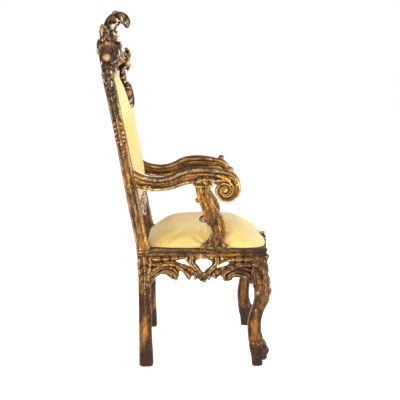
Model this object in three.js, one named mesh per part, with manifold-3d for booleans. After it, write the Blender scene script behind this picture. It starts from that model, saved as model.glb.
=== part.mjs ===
// A carved and gilded wooden throne: an armchair of state with a tall raked back, a crest that curls
// forward, scrolled arms on leaf-wrapped supports, pierced aprons and cabriole front legs.
// Millimetres, +Z up, the front faces -Y. Left and right are the sitter's, so right is -X.
import * as THREE from "three";
import { mergeVertices } from "three/addons/utils/BufferGeometryUtils.js";
import Module from "manifold-3d";

const wasm = await Module();
wasm.setup();

// Driving dimensions of the seat frame. "f" is a distance in front of the back leg's axis.
const railTop = 464;
const railBand = 26;
const railSolid = 44;
const railWidth = 40;
const bandProud = 6;
const apronThick = 24;
const postHalfSpan = 288;
const blockHalfSpan = 304;
const blockBack = 402;
const blockSize = 58;
const frontBow = 18;
const ledge = 12;
const ledgeDrop = 34;
const fit = 0.3;

// Back posts, each one piece with its back leg.
const postWidth = 48;
const legHalf = 26;
const footFlare = 3;
const postDepthLow = 46;
const postDepthMid = 41;
const postTop = 668;
const rake = THREE.MathUtils.degToRad(10.9);
const rakeForward = 12;
const rakeHeight = 470;
const edgeChamfer = 6;

// Back panel and the rails above and below it, measured along the raked back.
const lowerRailFrom = 92;
const lowerRailTo = 172;
const panelGap = 1;
const panelThick = 26;
const panelCrown = 29;
const archSpring = postTop - 28;
const archRise = 34;
const pendantHalf = 68;
const pendantTip = archSpring - 120;
const crestTop = postTop + 102;
const crestThick = 38;

// Volutes at the corners of the crest, and the curled leaf on its middle.
const voluteRadius = 45;
const voluteWidth = 58;
const voluteHeight = postTop + 65;
const voluteEye = 17;
const finialTop = crestTop + 135;
const finialReach = 84;
const finialHalf = 62;

// Arms and their supports.
const armWidth = 52;
const armProud = 14;
const armScroll = 75;
const armScrollForward = 300;
const armScrollHeight = 685;
const armUnderside = armScrollHeight + 21;
const armKnob = 15;
const supportWidth = 40;
const reedDepth = 4;

// Front legs.
const kneeOffset = 12;
const ankleOffset = -14;
const toeRadius = 17;

// Seat, a stuffed frame that drops on the ledges of the rails.
const seatGap = 2;
const seatOverRail = 22;
const seatCrown = 552;
const notchFrom = 178;
const notchTo = 326;

const gilt = new THREE.MeshStandardMaterial({ color: 0x7a5526, roughness: 0.5, metalness: 0.35 });
const cloth = new THREE.MeshStandardMaterial({ color: 0xecd894, roughness: 0.9, metalness: 0 });

// Geometry to a solid and back.
function solid(geometry) {
  const bare = geometry.clone();
  bare.deleteAttribute("normal");
  bare.deleteAttribute("uv");
  const merged = mergeVertices(bare, 1e-4);
  return new wasm.Manifold(
    new wasm.Mesh({
      numProp: 3,
      vertProperties: new Float32Array(merged.attributes.position.array),
      triVerts: new Uint32Array(merged.index.array),
    }),
  );
}

function union(parts) {
  return parts.reduce((whole, part) => whole.add(part));
}

function mesh(name, shape, material) {
  const made = shape.getMesh();
  const geometry = new THREE.BufferGeometry();
  const position = new Float32Array(made.numVert * 3);
  for (let i = 0; i < made.numVert; i++) {
    position.set(made.vertProperties.subarray(i * made.numProp, i * made.numProp + 3), i * 3);
  }
  geometry.setAttribute("position", new THREE.BufferAttribute(position, 3));
  geometry.setIndex(new THREE.BufferAttribute(new Uint32Array(made.triVerts), 1));
  geometry.computeVertexNormals();
  const node = new THREE.Mesh(geometry, material);
  node.name = name;
  return node;
}

// Planes that outlines are drawn in: side is (f, z) seen from the sitter's left, face is (x, z) seen
// from the front. The third axis is the direction in which an outline is thickened.
const side = {
  u: new THREE.Vector3(0, -1, 0),
  v: new THREE.Vector3(0, 0, 1),
  w: new THREE.Vector3(-1, 0, 0),
};
const face = {
  u: new THREE.Vector3(1, 0, 0),
  v: new THREE.Vector3(0, 0, 1),
  w: new THREE.Vector3(0, -1, 0),
};

function inPlane(plane, u, v, w) {
  return new THREE.Vector3()
    .addScaledVector(plane.u, u)
    .addScaledVector(plane.v, v)
    .addScaledVector(plane.w, w);
}

// A plate with that outline and holes, from depth w0 to w1 of the plane, with chamfered edges.
function plate(plane, outline, w0, w1, { chamfer = 0, holes = [] } = {}) {
  const shape = new THREE.Shape(outline);
  holes.forEach((hole) => shape.holes.push(new THREE.Path(hole)));
  const geometry = new THREE.ExtrudeGeometry(shape, {
    depth: w1 - w0 - 2 * chamfer,
    bevelEnabled: chamfer > 0,
    bevelThickness: chamfer,
    bevelSize: chamfer,
    bevelOffset: -chamfer,
    bevelSegments: 1,
  });
  geometry.translate(0, 0, w0 + chamfer);
  geometry.applyMatrix4(new THREE.Matrix4().makeBasis(plane.u, plane.v, plane.w));
  return solid(geometry);
}

// A closed skin through rings of points, each ring with the same count.
function loft(rings) {
  const count = rings[0].length;
  const points = rings.flat();
  const faces = [];
  for (let i = 0; i + 1 < rings.length; i++) {
    for (let j = 0; j < count; j++) {
      const a = i * count + j;
      const b = i * count + ((j + 1) % count);
      faces.push([a, b, b + count], [a, b + count, a + count]);
    }
  }
  for (const [start, turn] of [[0, true], [(rings.length - 1) * count, false]]) {
    const middle = points.length;
    const ring = points.slice(start, start + count);
    points.push(ring.reduce((sum, p) => sum.clone().add(p), new THREE.Vector3()).divideScalar(count));
    for (let j = 0; j < count; j++) {
      const a = start + j;
      const b = start + ((j + 1) % count);
      faces.push(turn ? [middle, b, a] : [middle, a, b]);
    }
  }
  const volume = faces.reduce((sum, [a, b, c]) => {
    return sum + points[a].dot(new THREE.Vector3().crossVectors(points[b], points[c]));
  }, 0);
  const geometry = new THREE.BufferGeometry().setFromPoints(points);
  geometry.setIndex(faces.flatMap(([a, b, c]) => (volume > 0 ? [a, b, c] : [a, c, b])));
  return solid(geometry);
}

// A bar along a flat curve of the plane. Its section is a list of steps out of the curve, to its left
// and along w.
function sweep(plane, curve, steps, section, lift = 0) {
  const rings = [];
  for (let i = 0; i <= steps; i++) {
    const t = i / steps;
    const at = curve.getPoint(t);
    const along = curve.getTangent(t);
    const ring = section(t).map(([out, across]) => {
      return inPlane(plane, at.x - along.y * out, at.y + along.x * out, lift + across);
    });
    rings.push(ring);
  }
  return loft(rings);
}

function diamond(high, wide) {
  return [[high, 0], [0, wide], [-high, 0], [0, -wide]];
}

function ball(centre, radius, stretch = new THREE.Vector3(1, 1, 1)) {
  const geometry = new THREE.SphereGeometry(radius, 6, 4);
  geometry.scale(stretch.x, stretch.y, stretch.z);
  geometry.rotateX(Math.PI / 2);
  geometry.translate(centre.x, centre.y, centre.z);
  return solid(geometry);
}

function box(x0, x1, f0, f1, z0, z1) {
  const geometry = new THREE.BoxGeometry(x1 - x0, f1 - f0, z1 - z0);
  geometry.translate((x0 + x1) / 2, -(f0 + f1) / 2, (z0 + z1) / 2);
  return solid(geometry);
}

function smooth(points, count) {
  return new THREE.SplineCurve(points.map(([u, v]) => new THREE.Vector2(u, v))).getPoints(count);
}

// A spiral of the plane: radius shrinks by the same share with each radian.
class Spiral extends THREE.Curve {
  constructor(centre, radius, shrink, from, to) {
    super();
    Object.assign(this, { centre, radius, shrink, from, to });
  }
  getPoint(t) {
    const angle = this.from + (this.to - this.from) * t;
    const reach = this.radius * Math.exp(-this.shrink * Math.abs(this.to - this.from) * t);
    return new THREE.Vector2(
      this.centre.x + reach * Math.cos(angle),
      this.centre.y + reach * Math.sin(angle),
    );
  }
}

// An acanthus leaf along a curve: a ridged blade whose edge swells in lobes, its root sunk in what it
// lies on. It lies flat in the plane, or stands across it when it is edge on.
function leaf(plane, points, half, thick, lobes, { lift = 0, steps = 8, edgeOn = false, root = 4 } = {}) {
  const curve = new THREE.SplineCurve(points.map(([u, v]) => new THREE.Vector2(u, v)));
  const section = (t) => {
    const body = Math.sin(Math.PI * (0.12 + 0.83 * t)) ** 0.7;
    const lobe = 0.74 + 0.26 * Math.abs(Math.sin(Math.PI * lobes * t));
    const wide = Math.max(1.5, half * body * lobe);
    const deep = Math.max(1.5, thick * (0.45 + 0.55 * body));
    const ridge = [[wide, -root], [0, deep], [-wide, -root]];
    return edgeOn ? ridge.map(([out, across]) => [across, out]) : ridge;
  };
  return sweep(plane, curve, steps, section, lift);
}

function both(shape) {
  return shape.add(shape.mirror([1, 0, 0]));
}

// Side walls of the seat spread towards the front, so what stands on them is slanted by this.
const spread = (blockHalfSpan - postHalfSpan) / blockBack;
function splay(shape, outward) {
  return shape.warp((p) => {
    p[0] += outward * spread * Math.max(0, -p[1]);
  });
}

// A point of the raked back, w in front of its face and v up along it, as (f, z).
function onBack(w, v) {
  return [
    rakeForward + w * Math.cos(rake) - v * Math.sin(rake),
    rakeHeight + w * Math.sin(rake) + v * Math.cos(rake),
  ];
}

// Back post: a leg below the seat and a raked stile above it. "grow" makes a cutter for what laps it.
function postBlank(grow) {
  const front = [
    [legHalf + footFlare - 2, -grow],
    [legHalf + footFlare - 2, 14],
    [legHalf - 4, railTop * 0.19],
    [legHalf - 7, railTop * 0.5],
    [legHalf - 6, railTop * 0.72],
    [legHalf - 8, railTop - 20],
    onBack(0, 16),
    onBack(0, 120),
    onBack(0, 300),
    onBack(0, 480),
    onBack(0, postTop),
  ];
  const back = [
    onBack(-postDepthMid - 3, postTop),
    onBack(-postDepthMid, 480),
    onBack(-postDepthMid - 3, 280),
    onBack(-postDepthLow, 140),
    onBack(-postDepthLow, 30),
    [-legHalf - 5, railTop - 30],
    [-legHalf - 1, railTop * 0.68],
    [-legHalf, railTop * 0.22],
    [-legHalf - 1, -grow],
  ];
  const outline = [
    ...front.map(([f, z]) => new THREE.Vector2(f + grow, z)),
    ...back.map(([f, z]) => new THREE.Vector2(f - grow, z)),
  ];
  const inner = postHalfSpan - postWidth;
  return plate(side, outline, inner - grow, postHalfSpan + grow, { chamfer: edgeChamfer });
}

function backPost() {
  const inner = postHalfSpan - postWidth;
  const collar = [railTop - 24, railTop - 12, railTop].map((z) => {
    return box(-postHalfSpan - 3, -inner, -legHalf - 9, legHalf - 7, z - 8, z);
  });
  const reedFace = { lift: postHalfSpan - 1, steps: 3 };
  const reed = (from, to) => {
    const points = [0, 0.5, 1].map((t) => onBack(-postDepthMid / 2, from + (to - from) * t));
    return leaf(side, points, 9, 4.5, 0, reedFace);
  };
  const clasp = [390, 430, 470].map((v) => {
    const points = [[-postDepthMid / 2, v + 44], [-postDepthMid / 2, v - 8]];
    return leaf(side, points.map(([w, u]) => onBack(w, u)), 20, 5, 2, { lift: postHalfSpan, steps: 3 });
  });
  const kneeLeaf = leaf(side, [[4, railTop * 0.83], [0, railTop * 0.7], [-4, railTop * 0.62]], 17, 5, 3, {
    lift: postHalfSpan - 1,
    steps: 6,
  });
  const husk = leaf(side, [[0, railTop * 0.565], [-3, railTop * 0.39]], 14, 4, 2, { lift: postHalfSpan - 1, steps: 4 });
  return union([postBlank(0), ...collar, reed(60, 350), reed(500, 640), ...clasp, kneeLeaf, husk]);
}

// Side rail: a moulded band over a pierced apron of scrolls and leaves. Heights below are drops from
// the rail's top, and places along it are shares of the length between the post and the front block.
function sideRail() {
  const from = legHalf - 4 + fit;
  const to = blockBack - fit;
  const length = to - from;
  const at = (share, drop) => [from + share * length, railTop - drop];
  const lowerEdge = [
    at(0, 134), at(0.03, 108), at(0.12, 103), at(0.2, 111), at(0.26, 121), at(0.275, 92),
    at(0.33, 100), at(0.385, 127), at(0.42, 108), at(0.465, 120), at(0.525, 134), at(0.575, 114),
    at(0.63, 113), at(0.7, 105), at(0.75, 129), at(0.8, 112), at(0.88, 112), at(0.95, 126), at(1, 136),
  ];
  const outline = [
    ...smooth(lowerEdge, 30),
    new THREE.Vector2(to, railTop - railBand / 2),
    new THREE.Vector2(from, railTop - railBand / 2),
  ];
  const opening = (points, count) => smooth([...points, points[0]], count).slice(0, -1);
  const holes = [
    opening([at(0.225, 52), at(0.335, 46), at(0.35, 60), at(0.39, 76), at(0.35, 76), at(0.29, 66)], 12),
    opening([at(0.44, 62), at(0.515, 42), at(0.59, 58), at(0.575, 76), at(0.5, 96)], 14),
    opening([at(0.64, 82), at(0.67, 68), at(0.77, 58), at(0.76, 66), at(0.72, 76)], 10),
  ];
  const outer = postHalfSpan - bandProud;
  const apron = plate(side, outline, outer - apronThick, outer, { holes });
  const inner = postHalfSpan - railWidth;
  const body = box(-outer, -inner, from, to, railTop - railSolid + 3, railTop - 1);
  const rest = box(-inner - 1, -inner + ledge, from, to, railTop - ledgeDrop - ledge, railTop - ledgeDrop);
  const band = (drop, high, proud) => {
    return box(-postHalfSpan - proud, -outer + 4, from, to, railTop - drop - high, railTop - drop);
  };
  const relief = { lift: outer, steps: 6 };
  const carving = [
    leaf(side, [at(-0.01, 88), at(0.1, 76), at(0.2, 92), at(0.255, 116)], 17, 8, 3, relief),
    leaf(side, [at(0.27, 78), at(0.33, 94), at(0.385, 122)], 11, 7, 2, { lift: outer, steps: 6 }),
    leaf(side, [at(1.0, 92), at(0.88, 84), at(0.78, 96), at(0.74, 124)], 18, 8, 3, relief),
    leaf(side, [at(0.525, 98), at(0.525, 131)], 13, 8, 2, { lift: outer, steps: 6 }),
    ...[-1, 1].map((way) => {
      const path = [at(0.515 + way * 0.02, 34), at(0.515 + way * 0.1, 50), at(0.515 + way * 0.085, 82)];
      path.push(at(0.52 + way * 0.03, 102));
      const curve = new THREE.SplineCurve(path.map(([u, v]) => new THREE.Vector2(u, v)));
      return sweep(side, curve, 7, () => diamond(7, 7), outer);
    }),
  ];
  const rail = union([apron, body, rest, band(0, 10, 2), band(14, 12, 0), band(8, 8, -4), ...carving]);
  return splay(rail.intersect(box(-400, 0, from, to, 0, railTop)), -1);
}

// Front rail: the same work between the two corner blocks, bowed forward, with a shell on its middle.
function frontRail() {
  const half = blockHalfSpan - blockSize - fit;
  const at = (share, drop) => [share * half, railTop - drop];
  const halfEdge = [
    at(0, 146), at(0.07, 130), at(0.13, 122), at(0.22, 130), at(0.27, 112), at(0.36, 108),
    at(0.45, 128), at(0.5, 100), at(0.6, 112), at(0.66, 124), at(0.74, 106), at(0.88, 112), at(1, 134),
  ];
  const lower = smooth(halfEdge, 20);
  const outline = [
    ...lower.slice(1).reverse().map((p) => new THREE.Vector2(-p.x, p.y)),
    ...lower,
    ...[1, 0.5, -0.5, -1].map((s) => new THREE.Vector2(s * half, railTop - 2)),
  ];
  const hole = (points, count, way) => {
    const turned = points.map(([x, z]) => [way * x, z]);
    return smooth([...turned, turned[0]], count).slice(0, -1);
  };
  const holes = [-1, 1].flatMap((way) => [
    hole([at(0.13, 96), at(0.2, 64), at(0.3, 70), at(0.26, 92)], 10, way),
    hole([at(0.4, 62), at(0.56, 54), at(0.66, 66), at(0.54, 80)], 10, way),
  ]);
  const front = blockBack + blockSize - bandProud;
  const apron = plate(face, outline, front - apronThick, front, { holes });
  const bow = (x) => frontBow * (1 - (x / half) ** 2);
  const stations = [-1, -0.5, 0, 0.5, 1].map((share) => share * (half + 1));
  const bar = (f0, f1, z0, z1) => {
    return loft(stations.map((x) => [[f0, z0], [f1, z0], [f1, z1], [f0, z1]].map(([f, z]) => {
      return new THREE.Vector3(x, -f - bow(x), z);
    })));
  };
  const relief = { lift: front, steps: 6 };
  const carving = [-1, 1].flatMap((way) => {
    const turn = (points) => points.map(([x, z]) => [way * x, z]);
    return [
      leaf(face, turn([at(1, 92), at(0.85, 82), at(0.7, 92), at(0.64, 118)]), 16, 8, 3, relief),
      leaf(face, turn([at(0.6, 82), at(0.5, 88), at(0.45, 122)]), 11, 7, 2, { lift: front, steps: 6 }),
      leaf(face, turn([at(0.1, 40), at(0.26, 48), at(0.36, 76), at(0.3, 100)]), 8, 7, 0, relief),
    ];
  });
  const shell = [-2, -1, 0, 1, 2].map((k) => {
    const lean = k * 0.42;
    const tip = [54 * Math.sin(lean), railTop - 38 + 54 * Math.cos(lean)];
    return leaf(face, [[0, railTop - 38], tip], 10, 11, 0, { lift: front - 2, steps: 3 });
  });
  const drop = leaf(face, [at(0, 56), at(0, 144)], 18, 10, 3, relief);
  const rest = bar(blockBack + blockSize - railWidth - ledge, blockBack + blockSize - railWidth + 1,
    railTop - ledgeDrop - ledge, railTop - ledgeDrop);
  const carved = union([apron, ...carving, ...shell, drop]).warp((p) => {
    p[1] -= bow(p[0]);
  });
  const rail = union([
    carved,
    bar(blockBack + blockSize - railWidth, front, railTop - railSolid + 3, railTop - 1),
    bar(front - 4, front + bandProud + 2, railTop - 10, railTop),
    bar(front - 4, front + bandProud, railTop - railBand, railTop - 14),
    rest,
  ]);
  return rail.intersect(box(-half, half, 0, 600, 0, railTop + 40));
}

function rearRail() {
  const half = postHalfSpan - postWidth - fit;
  const body = box(-half, half, -20, 10, railTop - 70, railTop - 2);
  const rest = box(-half, half, 9, 10 + ledge, railTop - ledgeDrop - ledge, railTop - ledgeDrop);
  return body.add(rest);
}

// Front leg: a corner block and a cabriole leg that bows out at the knee and in at the ankle.
function frontLeg() {
  const middle = blockBack + blockSize / 2;
  const out = blockHalfSpan - blockSize / 2;
  const stations = [
    [0.745, 3, 29], [0.7, 8, 31], [0.657, kneeOffset, 31], [0.597, kneeOffset, 30],
    [0.539, kneeOffset * 0.6, 27], [0.463, -4, 24], [0.388, ankleOffset * 0.8, 23], [0.319, ankleOffset, 24],
    [0.226, ankleOffset * 0.8, 26], [0.155, -4, 30], [0.1, 2, 30], [0.05, 0, 23], [0.017, -2, 21], [0, -2, 19],
  ];
  const levels = new THREE.CatmullRomCurve3(
    stations.map(([share, centre, half]) => new THREE.Vector3(share * railTop, centre, half)),
  );
  const rings = levels.getPoints(13).map((s) => {
    const ring = [];
    for (let j = 0; j < 8; j++) {
      const angle = (Math.PI * (j + 0.5)) / 4;
      const square = (x) => Math.sign(x) * Math.abs(x) ** 0.62;
      ring.push(new THREE.Vector3(
        -(out + s.y + s.z * square(Math.cos(angle))),
        -(middle + s.y + s.z * square(Math.sin(angle))),
        Math.max(0, s.x),
      ));
    }
    return ring;
  });
  const half = blockSize / 2;
  const block = box(-out - half + 4, -out + half, middle - half, middle + half - 4, railTop - 134, railTop - 1);
  const band = (drop, high, proud) => {
    const edge = half + proud;
    return box(-out - edge, -out + half, middle - half, middle + edge, railTop - drop - high, railTop - drop);
  };
  const onCorner = (c, z) => new THREE.Vector3(-(out + c), -(middle + c), z);
  const bud = ball(onCorner(half - 2, railTop - 30), 10);
  const toe = ball(onCorner(toeRadius + 4, 0.13 * railTop), toeRadius);
  const curls = [-1, 1].map((way) => {
    return ball(onCorner(22, 0.142 * railTop).add(new THREE.Vector3(way * 13, -way * 13, 0)), 11);
  });
  const corner = {
    u: new THREE.Vector3(-1, -1, 0).normalize(),
    v: new THREE.Vector3(0, 0, 1),
    w: new THREE.Vector3(-1, 1, 0).normalize(),
  };
  const reach = (out + middle) / Math.SQRT2;
  const kneeLeaf = leaf(
    corner,
    [[30, 0.8], [44, 0.685], [42, 0.565], [16, 0.43]].map(([r, share]) => [reach + r, share * railTop]),
    26,
    7,
    3,
    { lift: (out - middle) / Math.SQRT2, steps: 7, edgeOn: true },
  );
  return union([loft(rings), block, band(0, 10, 2), band(14, 12, 0), bud, toe, ...curls, kneeLeaf]);
}

// Arm: a moulded bar that laps the outside of the back post and ends in a volute.
function arm() {
  const turns = { x: armScrollForward, y: armScrollHeight };
  const roll = new Spiral(turns, armScroll, 0.155, Math.PI / 2, -1.26 * Math.PI).getPoints(15).slice(0, 14);
  const at = (share, rise) => [armScrollForward * share, armScrollHeight + rise];
  const onPost = (rise) => onBack(fit, (armScrollHeight + rise - rakeHeight) / Math.cos(rake));
  const top = [
    onPost(73), at(-0.01, 55), at(0.16, 48), at(0.3, 53), at(0.43, 72), at(0.56, 85), at(0.68, 89),
    at(0.83, 86),
  ];
  const bottom = [at(0.63, 21), at(0.5, 17), at(0.37, 4), at(0.21, -5), at(0.04, -4), onPost(9)];
  const outline = [
    ...smooth(top, 9),
    ...roll,
    new THREE.Vector2(armScrollForward - armScroll * 0.48, armUnderside),
    ...smooth(bottom, 7),
  ];
  const outer = postHalfSpan + armProud;
  const bar = plate(side, outline, outer - armWidth, outer, { chamfer: 7 });
  const line = new THREE.SplineCurve(
    [at(-0.2, 59), at(0, 31), at(0.17, 21), at(0.3, 25), at(0.43, 39), at(0.56, 51), at(0.68, 56),
      at(0.86, 53)].map(([f, z]) => new THREE.Vector2(f, z)),
  );
  const grooves = [outer, outer - armWidth].map((lift) => {
    return sweep(side, line, 6, () => diamond(7, reedDepth), lift);
  });
  const eye = new Spiral(turns, armScroll * 0.7, 0.155, 0.2 * Math.PI, -2.4 * Math.PI);
  const ridge = [outer - 2, outer - armWidth + 2].map((lift) => {
    return sweep(side, eye, 9, (t) => diamond(6 - 3 * t, 5), lift);
  });
  const knobAt = new THREE.Vector3(armWidth / 2 - outer, -armScrollForward - 18, armScrollHeight + armScroll);
  return splay(union([bar, ...ridge, ball(knobAt, armKnob)]).subtract(union(grooves)), -1);
}

// Arm support: an S-shaped post with a curled leaf on its back edge and a spreading foot.
function armSupport() {
  const foot = railTop + fit;
  const head = armUnderside - fit;
  const rise = head - foot;
  const at = (f, share) => [f, foot + share * rise];
  const backEdge = [
    at(187, 1), at(194, 0.84), at(206, 0.7), at(213, 0.58), at(217, 0.5), at(209, 0.455), at(218, 0.4),
    at(235, 0.36), at(245, 0.25), at(240, 0.15), at(222, 0.07), at(204, 0),
  ];
  const frontEdge = [
    at(320, 0), at(300, 0.06), at(306, 0.16), at(311, 0.28), at(305, 0.4), at(290, 0.52), at(268, 0.65),
    at(250, 0.77), at(245, 0.88), at(250, 1),
  ];
  const outline = [...smooth(backEdge, 14), ...smooth(frontEdge, 9)];
  const outer = postHalfSpan + armProud - (armWidth - supportWidth) / 2 - 4;
  const body = plate(side, outline, outer - supportWidth, outer, { chamfer: 5 });
  const wraps = [
    [[at(222, 0.9), at(232, 0.66), at(262, 0.46), at(282, 0.3)], 13],
    [[at(262, 0.02), at(276, 0.16), at(280, 0.34)], 16],
  ].map(([points, half]) => leaf(side, points, half, 6, 3, { lift: outer - 1, steps: 8 }));
  const clip = box(-outer - 10, -outer + supportWidth, 0, 500, foot, head);
  return splay(union([body, ...wraps]).intersect(clip), -1);
}

// Seat: a deep dome of stuffing under cloth that swells over the rails, cut round posts and supports.
function seat() {
  const back = 12 + seatGap;
  const front = blockBack + blockSize - railWidth - seatGap;
  const halfRear = postHalfSpan - railWidth - seatGap;
  const floor = railTop - ledgeDrop + fit;
  const over = railTop + 1;
  const stations = [
    [floor, 0, 1], [over, 0, 1], [over, 1, 1], [over + 12, 1.2, 1], [over + 34, 0.9, 0.99],
    [over + 54, 0.4, 0.93], [over + 70, 0, 0.82], [seatCrown - 5, 0, 0.58], [seatCrown, 0, 0.2],
  ];
  const rings = stations.map(([z, swell, share]) => {
    const ring = [];
    const near = back - swell * 4;
    const far = front + swell * seatOverRail;
    const middle = (near + far) / 2;
    for (let j = 0; j < 22; j++) {
      const angle = (Math.PI * (j + 0.5)) / 11;
      const square = (x) => Math.sign(x) * Math.abs(x) ** (share < 0.9 ? 0.55 : 0.32);
      const f = middle + ((far - near) / 2) * share * square(Math.sin(angle));
      const half = halfRear + spread * f + swell * seatOverRail;
      const x = half * share * square(Math.cos(angle));
      const bow = frontBow * Math.max(0, (f - middle) / (far - middle));
      ring.push(new THREE.Vector3(x, -(f + bow * (1 - (x / half) ** 2)), z));
    }
    return ring;
  });
  const inner = postHalfSpan - railWidth - seatGap;
  const corner = box(-400, -(blockHalfSpan - blockSize - seatGap), blockBack - seatGap, 700, 0, over - 0.5);
  const support = box(-400, -(inner + spread * notchFrom), notchFrom, notchTo, over - 1, 600);
  return loft(rings).subtract(both(union([postBlank(seatGap), corner, support])));
}

// The raked back's own frame: x across, z up along the back and -y in front of the posts' face.
// The crest's lower edge springs from the posts, rises over the panel and drops round a pendant.
function archLine(inset) {
  const inner = postHalfSpan - postWidth;
  const points = [
    [inner, archSpring - inset], [inner - 22, archSpring + archRise * 0.5 - inset],
    [inner * 0.63, archSpring + archRise - inset], [pendantHalf + 22 + inset, archSpring + archRise * 0.6 - inset],
    [pendantHalf + inset, archSpring - 24 - inset], [pendantHalf * 0.7 + inset, pendantTip + 42 - inset],
    [0, pendantTip - inset],
  ];
  return smooth(points, 14);
}

// Outline of the panel inside its frame.
function panelOutline(inset) {
  const half = postHalfSpan - postWidth - inset;
  const bottom = lowerRailTo + inset;
  const arch = archLine(inset).map((p) => new THREE.Vector2(Math.min(half, p.x), p.y));
  return [
    new THREE.Vector2(-half, bottom),
    new THREE.Vector2(half, bottom),
    ...arch,
    ...arch.slice(0, -1).reverse().map((p) => new THREE.Vector2(-p.x, p.y)),
  ];
}

// Volute at the left end of the crest, with a bead in its eye and a lobe rising from its front.
function crestVolute() {
  const face0 = postHalfSpan + 14;
  const rim = new Spiral({ x: 0, y: voluteHeight }, voluteRadius, 0.05, -Math.PI / 2, 1.5 * Math.PI);
  const coil = new Spiral({ x: 0, y: voluteHeight }, voluteRadius - 8, 0.16, Math.PI, -1.6 * Math.PI);
  const lobe = [[18, 24], [34, 40], [42, 70]].map(([w, v]) => [w, voluteHeight + v]);
  return union([
    plate(side, rim.getPoints(13).slice(0, -1), face0 - voluteWidth, face0, { chamfer: 6 }),
    sweep(side, coil, 8, (t) => diamond(6 - 2 * t, 5), face0 - 2),
    ball(new THREE.Vector3(4 - face0, 6, voluteHeight - 14), voluteEye),
    leaf(side, lobe, 13, 20, 1, { lift: postHalfSpan - 24, steps: 4, root: 20 }),
  ]);
}

// Leaves and scrolls on the left half of the crest.
function crestSprays() {
  const inner = postHalfSpan - postWidth;
  const at = (share, rise) => [-share * inner, crestTop + rise];
  const leaves = [
    [[at(0.94, -8), at(0.79, 16), at(0.58, 20), at(0.43, 42), at(0.4, 82)], 17, 19, 3, -10, 7],
    [[at(0.29, 20), at(0.43, 42), at(0.5, 76)], 14, 12, 2, -24, 4],
    [[at(0.98, -94), at(0.83, -70), at(0.62, -62), at(0.46, -80), at(0.38, -120)], 15, 12, 3, 6, 7],
  ].map(([points, half, thick, lobes, lift, steps]) => {
    return leaf(face, points, half, thick, lobes, { lift, steps, root: 14 });
  });
  const scrolls = [
    new Spiral({ x: -0.71 * inner, y: crestTop - 25 }, 40, 0.22, -0.2 * Math.PI, 1.9 * Math.PI),
    new Spiral({ x: -0.26 * inner, y: crestTop - 28 }, 34, 0.2, 1.4 * Math.PI, -0.5 * Math.PI),
  ].map((curve) => sweep(face, curve, 7, (t) => diamond(9 - 4 * t, 10), 6));
  return union([...leaves, ...scrolls]);
}

// Leaf that rises from the middle of the crest and curls over forward.
function finial() {
  const path = [[-8, crestTop - 10], [-10, crestTop + 46], [2, finialTop - 44], [28, finialTop - 22],
    [54, finialTop - 24], [finialReach - 14, finialTop - 42], [finialReach - 16, finialTop - 60]];
  const curve = new THREE.SplineCurve(path.map(([w, v]) => new THREE.Vector2(w, v)));
  const blade = sweep(side, curve, 10, (t) => {
    const swell = 0.5 + 0.5 * Math.sin(Math.PI * Math.min(1, 0.1 + 0.95 * t));
    const lobe = 0.8 + 0.2 * Math.abs(Math.sin(Math.PI * 5 * t));
    const half = finialHalf * swell * lobe;
    const deep = 21 - 8 * t;
    return [[deep, 0], [deep * 0.6, half], [-deep * 0.5, half * 0.8], [-deep * 0.5, -half * 0.8], [deep * 0.6, -half]];
  });
  const tip = leaf(side, [[26, finialTop - 18], [44, finialTop - 4], [52, finialTop + 4]], 8, 20, 1, { steps: 3, root: 20 });
  return blade.add(tip);
}

// Leaves and a ball that hang from the crest over the middle of the panel.
function pendant() {
  const beadAt = archSpring + 60;
  return union([
    leaf(face, [[0, beadAt], [0, crestTop - 6]], 24, 30, 2, { lift: 22, steps: 5, root: 30 }),
    ball(new THREE.Vector3(0, -40, beadAt), 17, new THREE.Vector3(1.2, 1, 1)),
    leaf(face, [[0, beadAt - 10], [0, archSpring - 24]], 32, 24, 1, { lift: 6, steps: 3, root: 14 }),
    leaf(face, [[0, archSpring - 18], [0, pendantTip + 2]], 46, 36, 3, { lift: 10, steps: 8, root: 16 }),
  ]);
}

function crest() {
  const outerX = postHalfSpan + 2;
  const innerX = postHalfSpan - postWidth;
  const topEdge = smooth(
    [[0, crestTop + 84], [60, crestTop + 66], [0.4 * innerX, crestTop + 22], [0.62 * innerX, crestTop + 6],
      [0.89 * innerX, crestTop - 8], [outerX, voluteHeight], [outerX, postTop + fit]],
    11,
  );
  const rightHalf = [...topEdge, new THREE.Vector2(innerX, postTop + fit), ...archLine(0)];
  const leftHalf = rightHalf.slice(1, -1).reverse().map((p) => new THREE.Vector2(-p.x, p.y));
  const rail = plate(face, [...rightHalf, ...leftHalf], -crestThick, 0);
  const overPanel = plate(face, panelOutline(panelGap - fit), -200, panelCrown + panelGap);
  const carving = union([both(crestVolute()), both(crestSprays()), finial(), pendant()]);
  const postRoom = both(box(-400, 0.3 - innerX, -200, 200, -100, postTop + fit));
  return carving.subtract(overPanel).add(rail).subtract(postRoom);
}

function lowerRail() {
  const half = postHalfSpan - postWidth - fit;
  const points = [
    [half, lowerRailFrom + 8], [half * 0.8, lowerRailFrom + 24], [half * 0.5, lowerRailFrom + 10],
    [half * 0.28, lowerRailFrom + 16], [0, lowerRailFrom - 14],
  ];
  const lower = smooth(points, 10);
  const outline = [
    ...lower,
    ...lower.slice(0, -1).reverse().map((p) => new THREE.Vector2(-p.x, p.y)),
    new THREE.Vector2(-half, lowerRailTo),
    new THREE.Vector2(half, lowerRailTo),
  ].reverse();
  const carving = [
    leaf(face, [[0, lowerRailTo - 16], [0, lowerRailFrom - 6]], 22, 8, 3, { lift: -6, steps: 6 }),
    ...[-1, 1].map((way) => {
      const run = [[0.1, 38], [0.375, 24], [0.667, 40], [0.89, 30]];
      const points = run.map(([share, drop]) => [way * share * half, lowerRailTo - drop]);
      return leaf(face, points, 13, 6, 4, { lift: -6, steps: 9 });
    }),
  ];
  return union([plate(face, outline, -postDepthLow + 12, -6), ...carving]);
}

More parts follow.
